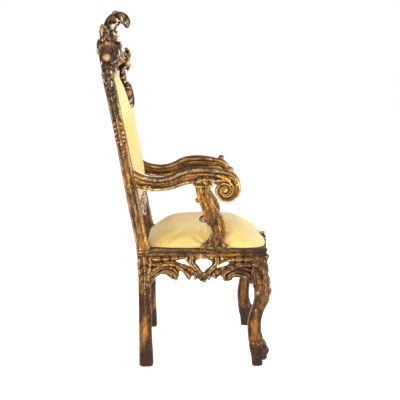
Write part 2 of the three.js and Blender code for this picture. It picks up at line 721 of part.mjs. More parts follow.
// Back panel: a crowned pad in the frame, flat behind.
function backPanel() {
  const half = postHalfSpan - postWidth - panelGap;
  const bottom = lowerRailTo + panelGap;
  const blank = plate(face, panelOutline(panelGap), -panelThick, panelCrown + 1);
  const columns = 8;
  const rows = 9;
  const rings = [];
  for (let i = 0; i <= columns; i++) {
    const s = (2 * i) / columns - 1;
    const x = s * (half + 2);
    const ring = [];
    for (let j = 0; j <= rows; j++) {
      const t = j / rows;
      const v = bottom - 2 + t * (archSpring + archRise + 4 - bottom);
      const sides = 1 - Math.abs(s) ** 3.2;
      const ends = 1 - Math.abs(2 * t - 1) ** 5;
      ring.push(new THREE.Vector3(x, -(2 + panelCrown * Math.max(0, sides * ends)), v));
    }
    ring.push(new THREE.Vector3(x, panelThick, ring[rows].z));
    ring.push(new THREE.Vector3(x, panelThick, bottom - 2));
    rings.push(ring);
  }
  return blank.intersect(loft(rings));
}

const throne = new THREE.Group();
throne.add(mesh("seat_cushion", seat(), cloth));
throne.add(mesh("front_seat_rail", frontRail(), gilt));
throne.add(mesh("rear_seat_rail", rearRail(), gilt));
const handed = { back_post: backPost(), side_seat_rail: sideRail(), front_leg: frontLeg(), arm: arm(),
  arm_support: armSupport() };
for (const [name, shape] of Object.entries(handed)) {
  throne.add(mesh("right_" + name, shape, gilt));
  throne.add(mesh("left_" + name, shape.mirror([1, 0, 0]), gilt));
}

const back = new THREE.Group();
back.position.set(0, -rakeForward, rakeHeight);
back.rotation.x = -rake;
back.add(mesh("crest_rail", crest(), gilt));
back.add(mesh("lower_back_rail", lowerRail(), gilt));
back.add(mesh("back_panel", backPanel(), cloth));
throne.add(back);

// The part's own origin is on the floor, in the middle of the whole.
throne.updateMatrixWorld(true);
const reach = new THREE.Box3().setFromObject(throne, true);
throne.position.set(0, -(reach.min.y + reach.max.y) / 2, -reach.min.z);

export default throne;
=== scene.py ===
import math

import bpy
import numpy as np
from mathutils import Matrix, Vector, geometry


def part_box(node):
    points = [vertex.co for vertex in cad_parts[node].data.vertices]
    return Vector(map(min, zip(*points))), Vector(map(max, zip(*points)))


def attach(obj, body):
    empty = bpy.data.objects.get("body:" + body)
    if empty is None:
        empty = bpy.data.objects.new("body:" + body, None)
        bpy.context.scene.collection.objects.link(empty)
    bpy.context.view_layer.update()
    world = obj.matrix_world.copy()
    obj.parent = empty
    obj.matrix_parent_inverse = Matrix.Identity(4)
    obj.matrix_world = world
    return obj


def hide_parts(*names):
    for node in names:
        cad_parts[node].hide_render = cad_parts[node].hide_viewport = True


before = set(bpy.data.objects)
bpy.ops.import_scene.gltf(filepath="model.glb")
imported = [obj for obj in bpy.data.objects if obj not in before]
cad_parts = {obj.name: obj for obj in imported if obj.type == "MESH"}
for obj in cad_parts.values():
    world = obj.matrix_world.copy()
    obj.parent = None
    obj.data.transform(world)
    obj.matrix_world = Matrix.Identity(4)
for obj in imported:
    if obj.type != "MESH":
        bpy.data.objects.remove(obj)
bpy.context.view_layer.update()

# The studio: a plain pale floor and white surroundings, with large soft lights on the chair's front and
# on its right side. The camera stands to the chair's right, level with the foot of its crest.
camera = bpy.data.objects.new("camera", bpy.data.cameras.new("camera"))
camera.location = (-3.1840, 0.01895, 1.02537)
camera.rotation_euler = Vector((0.991205, -0.026686, -0.129619)).to_track_quat("-Z", "Y").to_euler()
camera.data.lens = 70.2
camera.data.sensor_width = 36
bpy.context.scene.collection.objects.link(camera)
bpy.context.scene.camera = camera
bpy.context.scene.view_settings.view_transform = "Standard"


def linear(colour):
    """A colour such as "#a07030" as the linear red, green, blue and alpha that a socket takes."""
    parts = [int(colour[i : i + 2], 16) / 255 for i in (1, 3, 5)]
    return [p / 12.92 if p <= 0.04045 else ((p + 0.055) / 1.055) ** 2.4 for p in parts] + [1]


def node(tree, kind, inputs=(), family="ShaderNode", **settings):
    """Adds a node: inputs maps a socket's name or number to a value or to the socket it takes."""
    made = tree.nodes.new(family + kind)
    for name, value in settings.items():
        setattr(made, name, value)
    for key, value in dict(inputs).items():
        if isinstance(value, bpy.types.NodeSocket):
            tree.links.new(value, made.inputs[key])
        else:
            made.inputs[key].default_value = value
    return made


def light(name, place, target, size, power, colour):
    """A soft square light: its side in metres and its power in watts."""
    lamp = bpy.data.objects.new(name, bpy.data.lights.new(name, "AREA"))
    lamp.location = place
    lamp.rotation_euler = (Vector(target) - Vector(place)).to_track_quat("-Z", "Y").to_euler()
    lamp.data.size = size
    lamp.data.energy = power
    lamp.data.color = linear(colour)[:3]
    bpy.context.scene.collection.objects.link(lamp)


light("front_light", (-1.1, -3.2, 1.8), (0, 0, 0.7), 1.4, 84, "#eef3ff")
light("side_light", (-3.5, 0.9, 1.0), (0, 0, 0.6), 1.3, 61, "#fffefa")
light("far_light", (2.8, -1.2, 2.2), (0, 0, 0.8), 1.6, 22, "#ffffff")

world = bpy.data.worlds.new("white_room")
world.use_nodes = True
above = node(world.node_tree, "TexCoord").outputs["Generated"]
above = node(world.node_tree, "SeparateXYZ", {0: above}).outputs[2]
# white walls round a room with a dim ceiling
dimmed = node(world.node_tree, "MapRange", {0: above, 1: 0.15, 2: 0.6, 3: 1.0, 4: 0.4}).outputs[0]
world.node_tree.links.new(dimmed, world.node_tree.nodes["Background"].inputs["Strength"])
world.node_tree.nodes["Background"].inputs["Color"].default_value = linear("#ffffff")
bpy.context.scene.world = world

paper = bpy.data.materials.new("White studio floor sheet, lit a little from below")
paper.use_nodes = True
paper.node_tree.nodes["Principled BSDF"].inputs["Emission Color"].default_value = linear("#ffffff")
paper.node_tree.nodes["Principled BSDF"].inputs["Emission Strength"].default_value = 0.53
paper.node_tree.nodes["Principled BSDF"].inputs["Base Color"].default_value = linear("#ffffff")
paper.node_tree.nodes["Principled BSDF"].inputs["Roughness"].default_value = 0.9
floor_mesh = bpy.data.meshes.new("floor")
floor_mesh.from_pydata([(-30, -30, 0), (30, -30, 0), (30, 30, 0), (-30, 30, 0)], [], [(0, 1, 2, 3)])
floor_mesh.materials.append(paper)
floor = bpy.data.objects.new("floor", floor_mesh)
bpy.context.scene.collection.objects.link(floor)

# Back posts: each is one piece of wood with its back leg, square in section and raked above the seat.
# Their outer faces are fluted, ringed at the seat and clasped by leaves above the arms. Carved, coated
# with gesso and red-brown clay, gilded, and now rubbed and darkened.
leg_y = 1000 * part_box("right_side_seat_rail")[1].y + 22.3
rail_top = 1000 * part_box("right_side_seat_rail")[1].z
spread = 16 / 402
post_out = 288
post_wide = 48
rake = math.radians(10.9)
bend_f, bend_z = 12, 470
between_posts = 239.7


def on_chair(x, f, z):
    """Points in the row frame, in millimetres, from x, a distance in front of the back legs, and z."""
    x, f, z = np.broadcast_arrays(x, f, z)
    return np.stack([x, leg_y - f, z], -1).astype(float)


def on_side(f, z, out):
    """A point on the right side wall, which spreads to the front: out is from the middle plane."""
    return on_chair(-(out + spread * np.maximum(0, f)), f, z)


def on_back(x, v, w):
    """A point of the raked back: v is up along it, and w is in front of the posts' face."""
    v, w = np.asarray(v, float), np.asarray(w, float)
    f = bend_f + w * math.cos(rake) - v * math.sin(rake)
    return on_chair(x, f, bend_z + w * math.sin(rake) + v * math.cos(rake))


def spline(points, count):
    """A smooth line through the points, as so many points spaced evenly along it."""
    points = np.asarray(points, float)
    p = np.vstack([2 * points[0] - points[1], points, 2 * points[-1] - points[-2]])
    t = np.linspace(0, 1, 24, endpoint=False)[:, None]
    runs = []
    for a, b, c, d in zip(p, p[1:], p[2:], p[3:]):
        runs.append(b + 0.5 * t * (c - a + t * (2 * a - 5 * b + 4 * c - d + t * (3 * b - a - 3 * c + d))))
    fine = np.vstack([*runs, points[-1:]])
    step = np.linalg.norm(np.diff(fine, axis=0), axis=1)
    run = np.concatenate([[0], np.cumsum(step)])
    at = np.linspace(0, run[-1], count)
    return np.stack([np.interp(at, run, fine[:, k]) for k in range(fine.shape[1])], 1)


def closed_skin(rings):
    """A closed surface through rings of points, each end drawn together to one point."""
    rings = np.asarray(rings, float)
    rows, around = rings.shape[:2]
    row, column = np.meshgrid(np.arange(rows - 1), np.arange(around), indexing="ij")
    a = (row * around + column).ravel()
    b = (row * around + (column + 1) % around).ravel()
    j = np.arange(around)
    k = (j + 1) % around
    end = (rows - 1) * around
    first = np.full(around, rows * around)
    faces = np.vstack([
        np.stack([a, b, b + around], 1),
        np.stack([a, b + around, a + around], 1),
        np.stack([first, k, j], 1),
        np.stack([first + 1, end + j, end + k], 1),
    ])
    return np.vstack([rings.reshape(-1, 3), rings[0].mean(0), rings[-1].mean(0)]), faces


def squared(per_side, power):
    """Points round a square of half size 1 whose corners are rounded, more for a low power."""
    run = np.linspace(-1, 1, per_side, endpoint=False)
    one = np.ones(per_side)
    ring = np.vstack([np.stack(s, 1) for s in ((run, -one), (one, run), (-run, one), (-one, -run))])
    return ring / (np.abs(ring) ** power).sum(1, keepdims=True) ** (1 / power)


def moulding(path, up, section):
    """A bar along a line of points. Its section, one or one for each point, is steps across and out."""
    path = np.asarray(path, float)
    along = np.gradient(path, axis=0)
    along /= np.linalg.norm(along, axis=1, keepdims=True)
    across = np.cross(along, np.broadcast_to(up, path.shape))
    across /= np.linalg.norm(across, axis=1, keepdims=True)
    out = np.cross(across, along)
    section = np.broadcast_to(section, (len(path), *np.shape(section)[-2:]))
    return closed_skin(path[:, None] + across[:, None] * section[..., :1] + out[:, None] * section[..., 1:])


def acanthus(points, up, half, thick, lobes, root=5, droop=0.15, lean=0.5, start=0.12):
    """A carved leaf along a line: a raised spine between two hollows, and on both sides lobes that lean
    to the tip, with a cut between them and a vein up each. Its back is flat, so deep below its face."""
    rows, columns = 14 * max(1, lobes) + 8, 17
    path = spline(points, rows)
    along = np.gradient(path, axis=0)
    along /= np.linalg.norm(along, axis=1, keepdims=True)
    across = np.cross(along, np.broadcast_to(up, path.shape) if np.ndim(up) == 1 else spline(up, rows))
    across /= np.linalg.norm(across, axis=1, keepdims=True)
    out = np.cross(across, along)
    t = np.linspace(0, 1, rows)[:, None]
    s = np.linspace(-1, 1, columns)[None]
    body = np.sin(np.pi * (start + (0.97 - start) * t)) ** 0.6
    lobe = np.abs(np.sin(np.pi * lobes * t)) if lobes else np.ones_like(t)
    wide = half * body * (0.6 + 0.4 * lobe**0.7) * s
    edge = np.abs(s)
    cut = 0.75 * (1 - lobe) ** 1.2 * edge**0.6 + 0.2 * np.exp(-(((1 - lobe) / 0.06) ** 2)) * edge
    spine = 0.22 * np.exp(-((s / 0.12) ** 2)) - 0.34 * np.exp(-(((edge - 0.28) / 0.12) ** 2))
    high = thick * (0.35 + 0.65 * body) * np.maximum(0.12, 1 - 0.42 * s**2 - cut + spine)
    sunk = -droop * half * s**2 * body
    face = np.stack([wide, high + sunk, lean * np.abs(wide) * (1 - 0.6 * t)], -1)
    back = np.stack([wide * 0.94, sunk - root + 0 * wide, lean * np.abs(wide) * (1 - 0.6 * t)], -1)[:, ::-1]
    steps = np.concatenate([face, back], 1)
    axes = np.stack([across, out, along], 1)[:, None]
    return closed_skin(path[:, None] + (steps[..., None] * axes).sum(2))


def bead(centre, radius, stretch=(1, 1, 1)):
    """A round bead."""
    polar = np.linspace(0.12, np.pi - 0.12, 9)[:, None]
    turn = np.linspace(0, 2 * np.pi, 14, endpoint=False)[None]
    ball = [np.sin(polar) * np.cos(turn), np.sin(polar) * np.sin(turn), np.cos(polar) + 0 * turn]
    return closed_skin(np.asarray(centre, float) + radius * np.stack(ball, -1) * np.array(stretch))


# Water gilding on carved wood, over gesso and brown-red clay, some centuries old. It is a warm worn gold
# that has gone brown, brighter on the raised edges, where it is rubbed and where a highlight is painted on,
# dark in the hollows with dirt and painted shade, and broken by flecks of pale gesso.
gilding = bpy.data.materials.new("Water-gilded carved wood, worn and darkened")
gilding.use_nodes = True
tree = gilding.node_tree
shader = tree.nodes["Principled BSDF"]
along_grain = node(tree, "Attribute", attribute_name="grain").outputs["Vector"]
carving = node(tree, "Attribute", attribute_name="carving")
carved = node(tree, "SeparateColor", {0: carving.outputs["Color"]})
finish_and_painted_light = node(tree, "Attribute", attribute_name="finish_and_painted_light")
finish_and_light_parts = node(tree, "SeparateColor", {0: finish_and_painted_light.outputs["Color"]})
# Patches some 55 mm wide where the gold wore away evenly, rubs of 12 mm, and flecks that are 4 mm wide
# on the wood and drawn about twice as coarse, so that they show.
patch = node(tree, "TexNoise", {"Vector": along_grain, "Scale": 18, "Detail": 3, "Roughness": 0.6})
rub = node(tree, "TexNoise", {"Vector": along_grain, "Scale": 80, "Detail": 4, "Roughness": 0.65})
fleck = node(tree, "TexNoise", {"Vector": along_grain, "Scale": 110, "Detail": 3, "Roughness": 0.6})
worn = node(tree, "MapRange", {0: patch.outputs[0], 1: 0.38, 2: 0.62, 3: 0, 4: 1})
# the gold level also takes the finish attribute, which carries the pieces' painted highlight and shade
goldness_and_light = node(tree, "Math", {0: worn.outputs[0], 1: 0.5, 2: finish_and_light_parts.outputs[0]}, operation="MULTIPLY_ADD")
goldness_and_light = node(tree, "Math", {0: rub.outputs[0], 1: 2.4, 2: goldness_and_light.outputs[0]}, operation="MULTIPLY_ADD")
goldness_and_light = node(tree, "MapRange", {0: goldness_and_light.outputs[0], 1: 1.0, 2: 2.1, 3: 0, 4: 1})
low_part = node(tree, "MapRange", {0: goldness_and_light.outputs[0], 1: 0, 2: 0.5, 3: 0, 4: 1})
high_part = node(tree, "MapRange", {0: goldness_and_light.outputs[0], 1: 0.5, 2: 1, 3: 0, 4: 1})
clay_gold = node(tree, "Mix", {0: low_part.outputs[0], 6: linear("#361f10"), 7: linear("#7c501f")},
                 data_type="RGBA")
clay_gold = node(tree, "Mix", {0: high_part.outputs[0], 6: clay_gold.outputs[2], 7: linear("#b27d2e")},
                 data_type="RGBA")
# painted highlight: a pale cream gold on the raised ridges, broken up by the rub noise, and less where a
# piece keeps less gold
lit = node(tree, "Math", {0: carved.outputs[1], 1: rub.outputs[0]}, operation="MULTIPLY")
kept = node(tree, "MapRange", {0: finish_and_light_parts.outputs[0], 1: -0.6, 2: 0.1, 3: 0.06, 4: 1})
lit = node(tree, "MapRange", {0: lit.outputs[0], 1: 0.12, 2: 0.5, 3: 0, 4: 0.9})
lit = node(tree, "Math", {0: lit.outputs[0], 1: kept.outputs[0]}, operation="MULTIPLY")
rubbed_and_highlit = node(tree, "Mix", {0: lit.outputs[0], 6: clay_gold.outputs[2], 7: linear("#ecc884")},
              data_type="RGBA")
# dirt and painted shade in the hollows: a near-black brown laid over the gold where the carving is hollow
dirt_and_shade = node(tree, "MapRange", {0: carved.outputs[0], 1: 0.05, 2: 0.65, 3: 0, 4: 0.94})
dirtied_and_shaded = node(tree, "Mix", {0: dirt_and_shade.outputs[0], 6: rubbed_and_highlit.outputs[2], 7: linear("#1d120b")},
             data_type="RGBA")
dusty = node(tree, "Math", {0: carved.outputs[2], 1: patch.outputs[0]}, operation="MULTIPLY")
dusty = node(tree, "MapRange", {0: dusty.outputs[0], 1: 0.15, 2: 0.5, 3: 0, 4: 0.6})
dulled = node(tree, "Mix", {0: dusty.outputs[0], 6: dirtied_and_shaded.outputs[2], 7: linear("#574636")},
              data_type="RGBA")
# gesso shows most on raised edges of the parts that lost their gold
edge_loss = node(tree, "MapRange", {0: carved.outputs[1], 1: 0.1, 2: 0.7, 3: 0.2, 4: 0.75})
chip = node(tree, "Math", {0: finish_and_light_parts.outputs[1], 1: edge_loss.outputs[0]}, operation="MULTIPLY")
chip = node(tree, "Math", {0: fleck.outputs[0], 1: 1.0, 2: chip.outputs[0]}, operation="MULTIPLY_ADD")
chip = node(tree, "MapRange", {0: chip.outputs[0], 1: 0.71, 2: 0.82, 3: 0, 4: 0.85})
chipped = node(tree, "Mix", {0: chip.outputs[0], 6: dulled.outputs[2], 7: linear("#ecd6c0")},
               data_type="RGBA")
tree.links.new(chipped.outputs[2], shader.inputs["Base Color"])
shader.inputs["Specular IOR Level"].default_value = 0.18
undusted = node(tree, "MapRange", {0: dusty.outputs[0], 1: 0, 2: 0.6, 3: 0.55, 4: 0.12})
leaf_metal = node(tree, "Math", {0: goldness_and_light.outputs[0], 1: undusted.outputs[0]}, operation="MULTIPLY")
tree.links.new(leaf_metal.outputs[0], shader.inputs["Metallic"])
rough = node(tree, "MapRange", {0: rub.outputs[0], 1: 0.35, 2: 0.65, 3: 0.52, 4: 0.27})
rough = node(tree, "Math", {0: dusty.outputs[0], 1: 0.5, 2: rough.outputs[0]}, operation="MULTIPLY_ADD")
tree.links.new(rough.outputs[0], shader.inputs["Roughness"])
relief = node(tree, "Math", {0: rub.outputs[0], 1: 1.5, 2: fleck.outputs[0]}, operation="MULTIPLY_ADD")
bump = node(tree, "Bump", {"Strength": 0.5, "Distance": 0.0012, "Height": relief.outputs[0]})
tree.links.new(bump.outputs[0], shader.inputs["Normal"])

# The tree that sets small carved beads in a row: a line in, a bead at each step of it, a little uneven.
beading = bpy.data.node_groups.new("Beads along a line", "GeometryNodeTree")
beading.interface.new_socket("Line", in_out="INPUT", socket_type="NodeSocketGeometry")
bead_inputs = {}
bead_sizes = ("Spacing", "Radius", "Flattening", "Unevenness")
for title, kind in (*((size, "Float") for size in bead_sizes), ("Seed", "Int"), ("Material", "Material")):
    made = beading.interface.new_socket(title, in_out="INPUT", socket_type="NodeSocket" + kind)
    bead_inputs[title] = made.identifier
beading.interface.new_socket("Beads", in_out="OUTPUT", socket_type="NodeSocketGeometry")
given = node(beading, "GroupInput", family="Node").outputs
line_curve = node(beading, "MeshToCurve", {0: given["Line"]}, "GeometryNode").outputs[0]
spaced = node(beading, "ResampleCurve", {"Curve": line_curve, "Length": given["Spacing"]},
              "GeometryNode", mode="LENGTH")
ball = node(beading, "MeshIcoSphere", {"Radius": given["Radius"], "Subdivisions": 3},
            "GeometryNode").outputs[0]
flat_ball = node(beading, "CombineXYZ", {0: 1.0, 1: 1.0, 2: given["Flattening"]}).outputs[0]
ball = node(beading, "Transform", {"Geometry": ball, "Scale": flat_ball}, "GeometryNode").outputs[0]
least = node(beading, "Math", {0: 1.0, 1: given["Unevenness"]}, operation="SUBTRACT").outputs[0]
uneven = node(beading, "RandomValue", {"Seed": given["Seed"]}, "FunctionNode", data_type="FLOAT")
beading.links.new(least, uneven.inputs[2])
uneven.inputs[3].default_value = 1.0
tangent = node(beading, "InputTangent", family="GeometryNode").outputs[0]
turned = node(beading, "AlignRotationToVector", {"Vector": tangent}, "FunctionNode", axis="X").outputs[0]
placing = {"Points": spaced.outputs[0], "Instance": ball, "Rotation": turned, "Scale": uneven.outputs[1]}
beads = node(beading, "InstanceOnPoints", placing, "GeometryNode")
realized = node(beading, "RealizeInstances", {0: beads.outputs[0]}, "GeometryNode")
coated = node(beading, "SetMaterial", {"Geometry": realized.outputs[0], "Material": given["Material"]},
              "GeometryNode")
beading.links.new(coated.outputs[0], node(beading, "GroupOutput", family="Node").inputs[0])


def finished_mesh(thing):
    """What an object's modifiers make of it: points in millimetres, the faces' corners, and edges."""
    whole = bpy.data.meshes.new_from_object(thing.evaluated_get(bpy.context.evaluated_depsgraph_get()))
    co = np.empty(len(whole.vertices) * 3, np.float32)
    whole.vertices.foreach_get("co", co)
    corners = np.empty(len(whole.loops), np.int32)
    whole.loops.foreach_get("vertex_index", corners)
    pairs = np.empty(len(whole.edges) * 2, np.int32)
    whole.edges.foreach_get("vertices", pairs)
    bpy.data.meshes.remove(whole)
    return 1000 * co.reshape(-1, 3).astype(float), corners, pairs.reshape(-1, 2)


def beaded(line, spacing, radius, flattening, unevenness, seed):
    """A row of carved beads along a line of points in millimetres, to be cut in one with a piece."""
    wire = bpy.data.meshes.new("bead_line")
    pairs = [(i, i + 1) for i in range(len(line) - 1)]
    wire.from_pydata((np.asarray(line) / 1000).tolist(), pairs, [])
    row = bpy.data.objects.new("bead_line", wire)
    bpy.context.scene.collection.objects.link(row)
    setter = row.modifiers.new("beading", "NODES")
    setter.node_group = beading
    values = {"Spacing": spacing / 1000, "Radius": radius / 1000, "Flattening": flattening,
              "Unevenness": unevenness, "Seed": seed, "Material": gilding}
    for title, value in values.items():
        setter[bead_inputs[title]] = value
    points, corners, _ = finished_mesh(row)
    bpy.data.objects.remove(row)
    bpy.data.meshes.remove(wire)
    return points, corners.reshape(-1, 3)


def slab(outline, place, near, far, holes=()):
    """A board with that outline and holes, between two depths, where place(u, v, depth) puts a point."""
    loops = [np.asarray(loop, float) for loop in (outline, *holes)]
    flat = np.vstack(loops)
    filled = np.array(geometry.tessellate_polygon([[(*p, 0) for p in loop] for loop in loops]))
    count = len(flat)
    points = np.vstack([place(flat[:, 0], flat[:, 1], near), place(flat[:, 0], flat[:, 1], far)])
    walls, start = [], 0
    for loop in loops:
        j = np.arange(len(loop))
        a, b = start + j, start + (j + 1) % len(loop)
        walls += [np.stack([a, b, b + count], 1), np.stack([a, b + count, a + count], 1)]
        start += len(loop)
    return points, np.vstack([filled, filled + count, *walls])


def spiral(centre, radius, shrink, start, end, count):
    """A spiral line in a plane, whose radius shrinks by the same share with each radian."""
    angle = np.linspace(start, end, count)
    reach = radius * np.exp(-shrink * np.abs(angle - start))
    return np.stack([centre[0] + reach * np.cos(angle), centre[1] + reach * np.sin(angle)], 1)


def relaxed(points, edges, times, share=0.5):
    """The points, each drawn towards the middle of those it is joined to."""
    beside = np.bincount(edges.ravel(), minlength=len(points))[:, None]
    ends = (edges[:, 0], edges[:, 1]), (edges[:, 1], edges[:, 0])
    for _ in range(times):
        total = sum(
            np.stack([np.bincount(a, points[b, k], len(points)) for k in range(3)], 1) for a, b in ends
        )
        points = points + share * (total / beside - points)
    return points


def ripple(points, wavelength, seed):
    """Smooth unevenness, about -1 to 1, of that wavelength in millimetres."""
    chance = np.random.default_rng(seed)
    way = chance.normal(size=(3, 20))
    way *= 2 * math.pi / wavelength * chance.uniform(0.6, 1.6, 20) / np.linalg.norm(way, axis=0)
    return np.sin(points @ way + chance.uniform(0, 2 * math.pi, 20)).mean(1) * 2.2


def fused(shells, voxel):
    """The shells cut as one piece of wood: its points in millimetres, its four-sided faces and edges."""
    points, faces, start = [], [], 0
    for shell_points, shell_faces in shells:
        points.append(shell_points)
        faces.append(shell_faces + start)
        start += len(shell_points)
    rough = bpy.data.meshes.new("rough")
    rough.from_pydata((np.vstack(points) / 1000).tolist(), [], np.vstack(faces).tolist())
    block = bpy.data.objects.new("rough", rough)
    bpy.context.scene.collection.objects.link(block)
    cutter = block.modifiers.new("one_piece", "REMESH")
    cutter.mode = "VOXEL"
    cutter.voxel_size = voxel / 1000
    co, corners, edges = finished_mesh(block)
    bpy.data.objects.remove(block)
    bpy.data.meshes.remove(rough)
    for _ in range(2):
        co = relaxed(relaxed(co, edges, 1, 0.5), edges, 1, -0.5)
    return relaxed(co, edges, 1, 0.35), corners.reshape(-1, 4), edges


def plain(points, normals):
    """No more and no less of something than anywhere else."""
    return np.zeros(len(points))


def upright(points):
    """Places in the gilding's streaks, which are three times as long as wide along an upright piece."""
    return points * (1, 1, 0.33)


def gilded(name, wood, bright=plain, bare=plain, grain=upright, mirror=False, seed=1):
    """A finished piece of that wood, which replaces the CAD node of its name. bright says how much more
    gold than usual shows at each point, with the painted highlight and shade that some pieces are given,
    and bare how much more gesso. The piece gets the carver's unevenness, and keeps in its attributes how
    hollow, how ridged and how dusty it is, and its finish with that painted light and shade."""
    points, faces, edges = wood
    if mirror:
        points, faces = points * (-1, 1, 1), faces[:, ::-1]
    a, b, c, d = (points[faces[:, k]] for k in range(4))
    normal = np.cross(c - a, d - b)
    normals = np.stack([
        sum(np.bincount(faces[:, k], normal[:, axis], len(points)) for k in range(4)) for axis in range(3)
    ], 1)
    normals /= np.linalg.norm(normals, axis=1, keepdims=True) + 1e-12
    uneven = 0.45 * ripple(points, 16, seed) + 0.25 * ripple(points, 7, seed + 50)
    points = points + normals * uneven[:, None]
    points[:, 2] = np.maximum(points[:, 2], 0)
    close = ((relaxed(points, edges, 5) - points) * normals).sum(1)
    broad = ((relaxed(points, edges, 45) - points) * normals).sum(1)
    hollow = np.clip(close / 0.9, 0, 1) * 0.55 + np.clip(broad / 3.0, 0, 1) * 0.55
    ridge = np.clip(-close / 0.9, 0, 1) * 0.7 + np.clip(-broad / 4.0, 0, 1) * 0.4
    dust = np.clip(normals[:, 2], 0, 1) ** 1.5
    one = np.ones(len(points))
    seen = points * (-1, 1, 1) if mirror else points
    seen_normals = normals * (-1, 1, 1) if mirror else normals
    gold_and_painted_light, pale = bright(seen, seen_normals), bare(seen, seen_normals)
    made = bpy.data.meshes.new(name)
    made.from_pydata((points / 1000).tolist(), [], faces.tolist())
    made.polygons.foreach_set("use_smooth", np.ones(len(faces), bool))
    for title, parts in (("carving", (hollow, ridge, dust, one)), ("finish_and_painted_light", (gold_and_painted_light, pale, 0 * one, one))):
        layer = made.attributes.new(title, "FLOAT_COLOR", "POINT")
        layer.data.foreach_set("color", np.stack(parts, 1).astype(np.float32).ravel())
    streaks = made.attributes.new("grain", "FLOAT_VECTOR", "POINT")
    streaks.data.foreach_set("vector", ((grain(seen) + 37 * seed) / 1000).astype(np.float32).ravel())
    made.materials.append(gilding)
    piece = bpy.data.objects.new(name + "_carved", made)
    bpy.context.scene.collection.objects.link(piece)
    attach(piece, "root")
    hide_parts(name)
    return piece


leg_front = [
    (24, 0), (26.5, 5), (26.5, 16), (24, 81), (21.5, 150), (22.5, 196), (19.5, 232), (20, 334),
    (18.5, 444),
]
leg_back = [
    (-25, 0), (-27.5, 5), (-27.5, 30), (-27, 101), (-27, 160), (-27, 220), (-28, 320), (-30, 390),
    (-32.5, 449),
]
risers = [(30, 46), (110, 46), (200, 45), (300, 43.5), (400, 41.5), (500, 41), (600, 42), (668, 44)]
raked_front, raked_back = [], []
for v, d in risers:
    f, z = bend_f - v * math.sin(rake), bend_z + v * math.cos(rake)
    raked_front.append((f, z))
    raked_back.append((f - d * math.cos(rake), z - d * math.sin(rake)))
post_front = spline([*leg_front, *raked_front], 180)
post_rear = spline([*leg_back, *raked_back], 180)
post_section = squared(14, 5)


def post_ring(height, grow=0):
    """The post's section where its middle is at that height, and so much larger all round."""
    middle = (post_front[:, 1] + post_rear[:, 1]) / 2
    front = np.array([np.interp(height, middle, post_front[:, k]) for k in (0, 1)])
    rear = np.array([np.interp(height, middle, post_rear[:, k]) for k in (0, 1)])
    deep = (front - rear) / 2
    deep *= 1 + grow / np.linalg.norm(deep)
    flute = np.clip((height - 470) / 40, 0, 1)
    a, b = post_section.T
    outer = np.clip((b - 0.55) / 0.3, 0, 1)
    cuts = 4.2 * (np.exp(-(((np.abs(a) - 0.48) / 0.13) ** 2)) + 0.35 * a**2)
    plain_leg = 3.0 * np.abs(a) ** 2.2
    wide = post_wide / 2 + grow
    out = post_out - post_wide / 2 + wide * b - outer * (flute * cuts + (1 - flute) * plain_leg)
    centre = (front + rear) / 2
    return on_chair(-out, centre[0] + deep[0] * a, centre[1] + deep[1] * a)


def post_collar(height, half, proud):
    """A half-round ring round the post."""
    run = np.linspace(-1, 1, 7)
    return closed_skin([post_ring(height + half * r, proud * math.sqrt(1 - r * r * 0.98) - 1) for r in run])


right = np.array([-1.0, 0, 0])
middle_height = (post_front[:, 1] + post_rear[:, 1]) / 2
post_shells = [closed_skin([post_ring(z) for z in np.linspace(middle_height[0], middle_height[-1], 190)])]
post_shells += [post_collar(z, h, p) for z, h, p in ((460, 4, 3), (449, 5, 3.5), (438, 4, 2.5))]
post_shells += [post_collar(z, 4, 2.2) for z in (868, 884)]
post_shells += [post_collar(z, 5, 2.5) for z in (1052, 1064)]


def post_leaf(points, half, thick, lobes):
    """A leaf on the outer face of the post, through points (w, v) of the raked back."""
    path = [on_back(-post_out, v, w) for w, v in points]
    return acanthus(path, right, half, thick, lobes)


post_shells += [
    post_leaf([(-20, 455), (-22, 425), (-22, 398)], 21, 8, 3),
    post_leaf([(-20, 492), (-21, 470), (-22, 446)], 18, 8, 2),
    post_leaf([(-21, 556), (-22, 575), (-21, 600)], 15, 6, 2),
    post_leaf([(-21, 640), (-21, 622), (-21, 606)], 16, 7, 2),
    post_leaf([(-21, 205), (-22, 226), (-23, 250)], 14, 4, 2),
]
post_shells += [bead(on_back(-post_out, v, w), 6) for v, w in ((438, -8), (438, -36), (398, -22), (604, -21))]
post_shells += [
    acanthus([on_chair(-post_out, f, z) for f, z in points], right, half, thick, lobes)
    for points, half, thick, lobes in (
        ([(-6, 432), (-4, 392), (-2, 352), (-4, 306)], 19, 8, 4),
        ([(14, 428), (16, 395), (8, 360)], 9, 7, 2),
        ([(-22, 425), (-24, 392), (-20, 362)], 9, 6, 2),
        ([(-2, 296), (-3, 262), (-4, 232)], 12, 3.5, 2),
    )
]
post_shells += [bead(on_chair(-post_out + 12, 20, 198), 5)]
back_post = fused(post_shells, voxel=2.6)


def post_bright(points, normals):
    z = points[:, 2]
    # painted highlight down the middle of the back leg's side, strongest about 150 mm up, and painted shade
    # towards its front and rear edges
    centre = np.exp(-(((leg_y - points[:, 1] + 3) / 12) ** 2))
    low = np.clip((z - 62) / 40, 0, 1) * np.clip((330 - z) / 60, 0, 1)
    patch = 0.8 * np.exp(-(((z - 150) / 55) ** 2))
    # painted shade on the inner faces below 440 mm
    low = low * (1 - np.clip(normals[:, 0], 0, 1)) - 0.4 * np.clip(normals[:, 0], 0, 1) * (z < 440)
    gold_and_painted_light = np.maximum(low, 0) * ((0.2 + patch) * centre - 0.45)
    dark_ends = 0.35 * np.clip((z - 900) / 150, 0, 1) + 0.6 * np.clip((92 - z) / 40, 0, 1)
    return gold_and_painted_light + np.minimum(low, 0) - dark_ends - 0.04


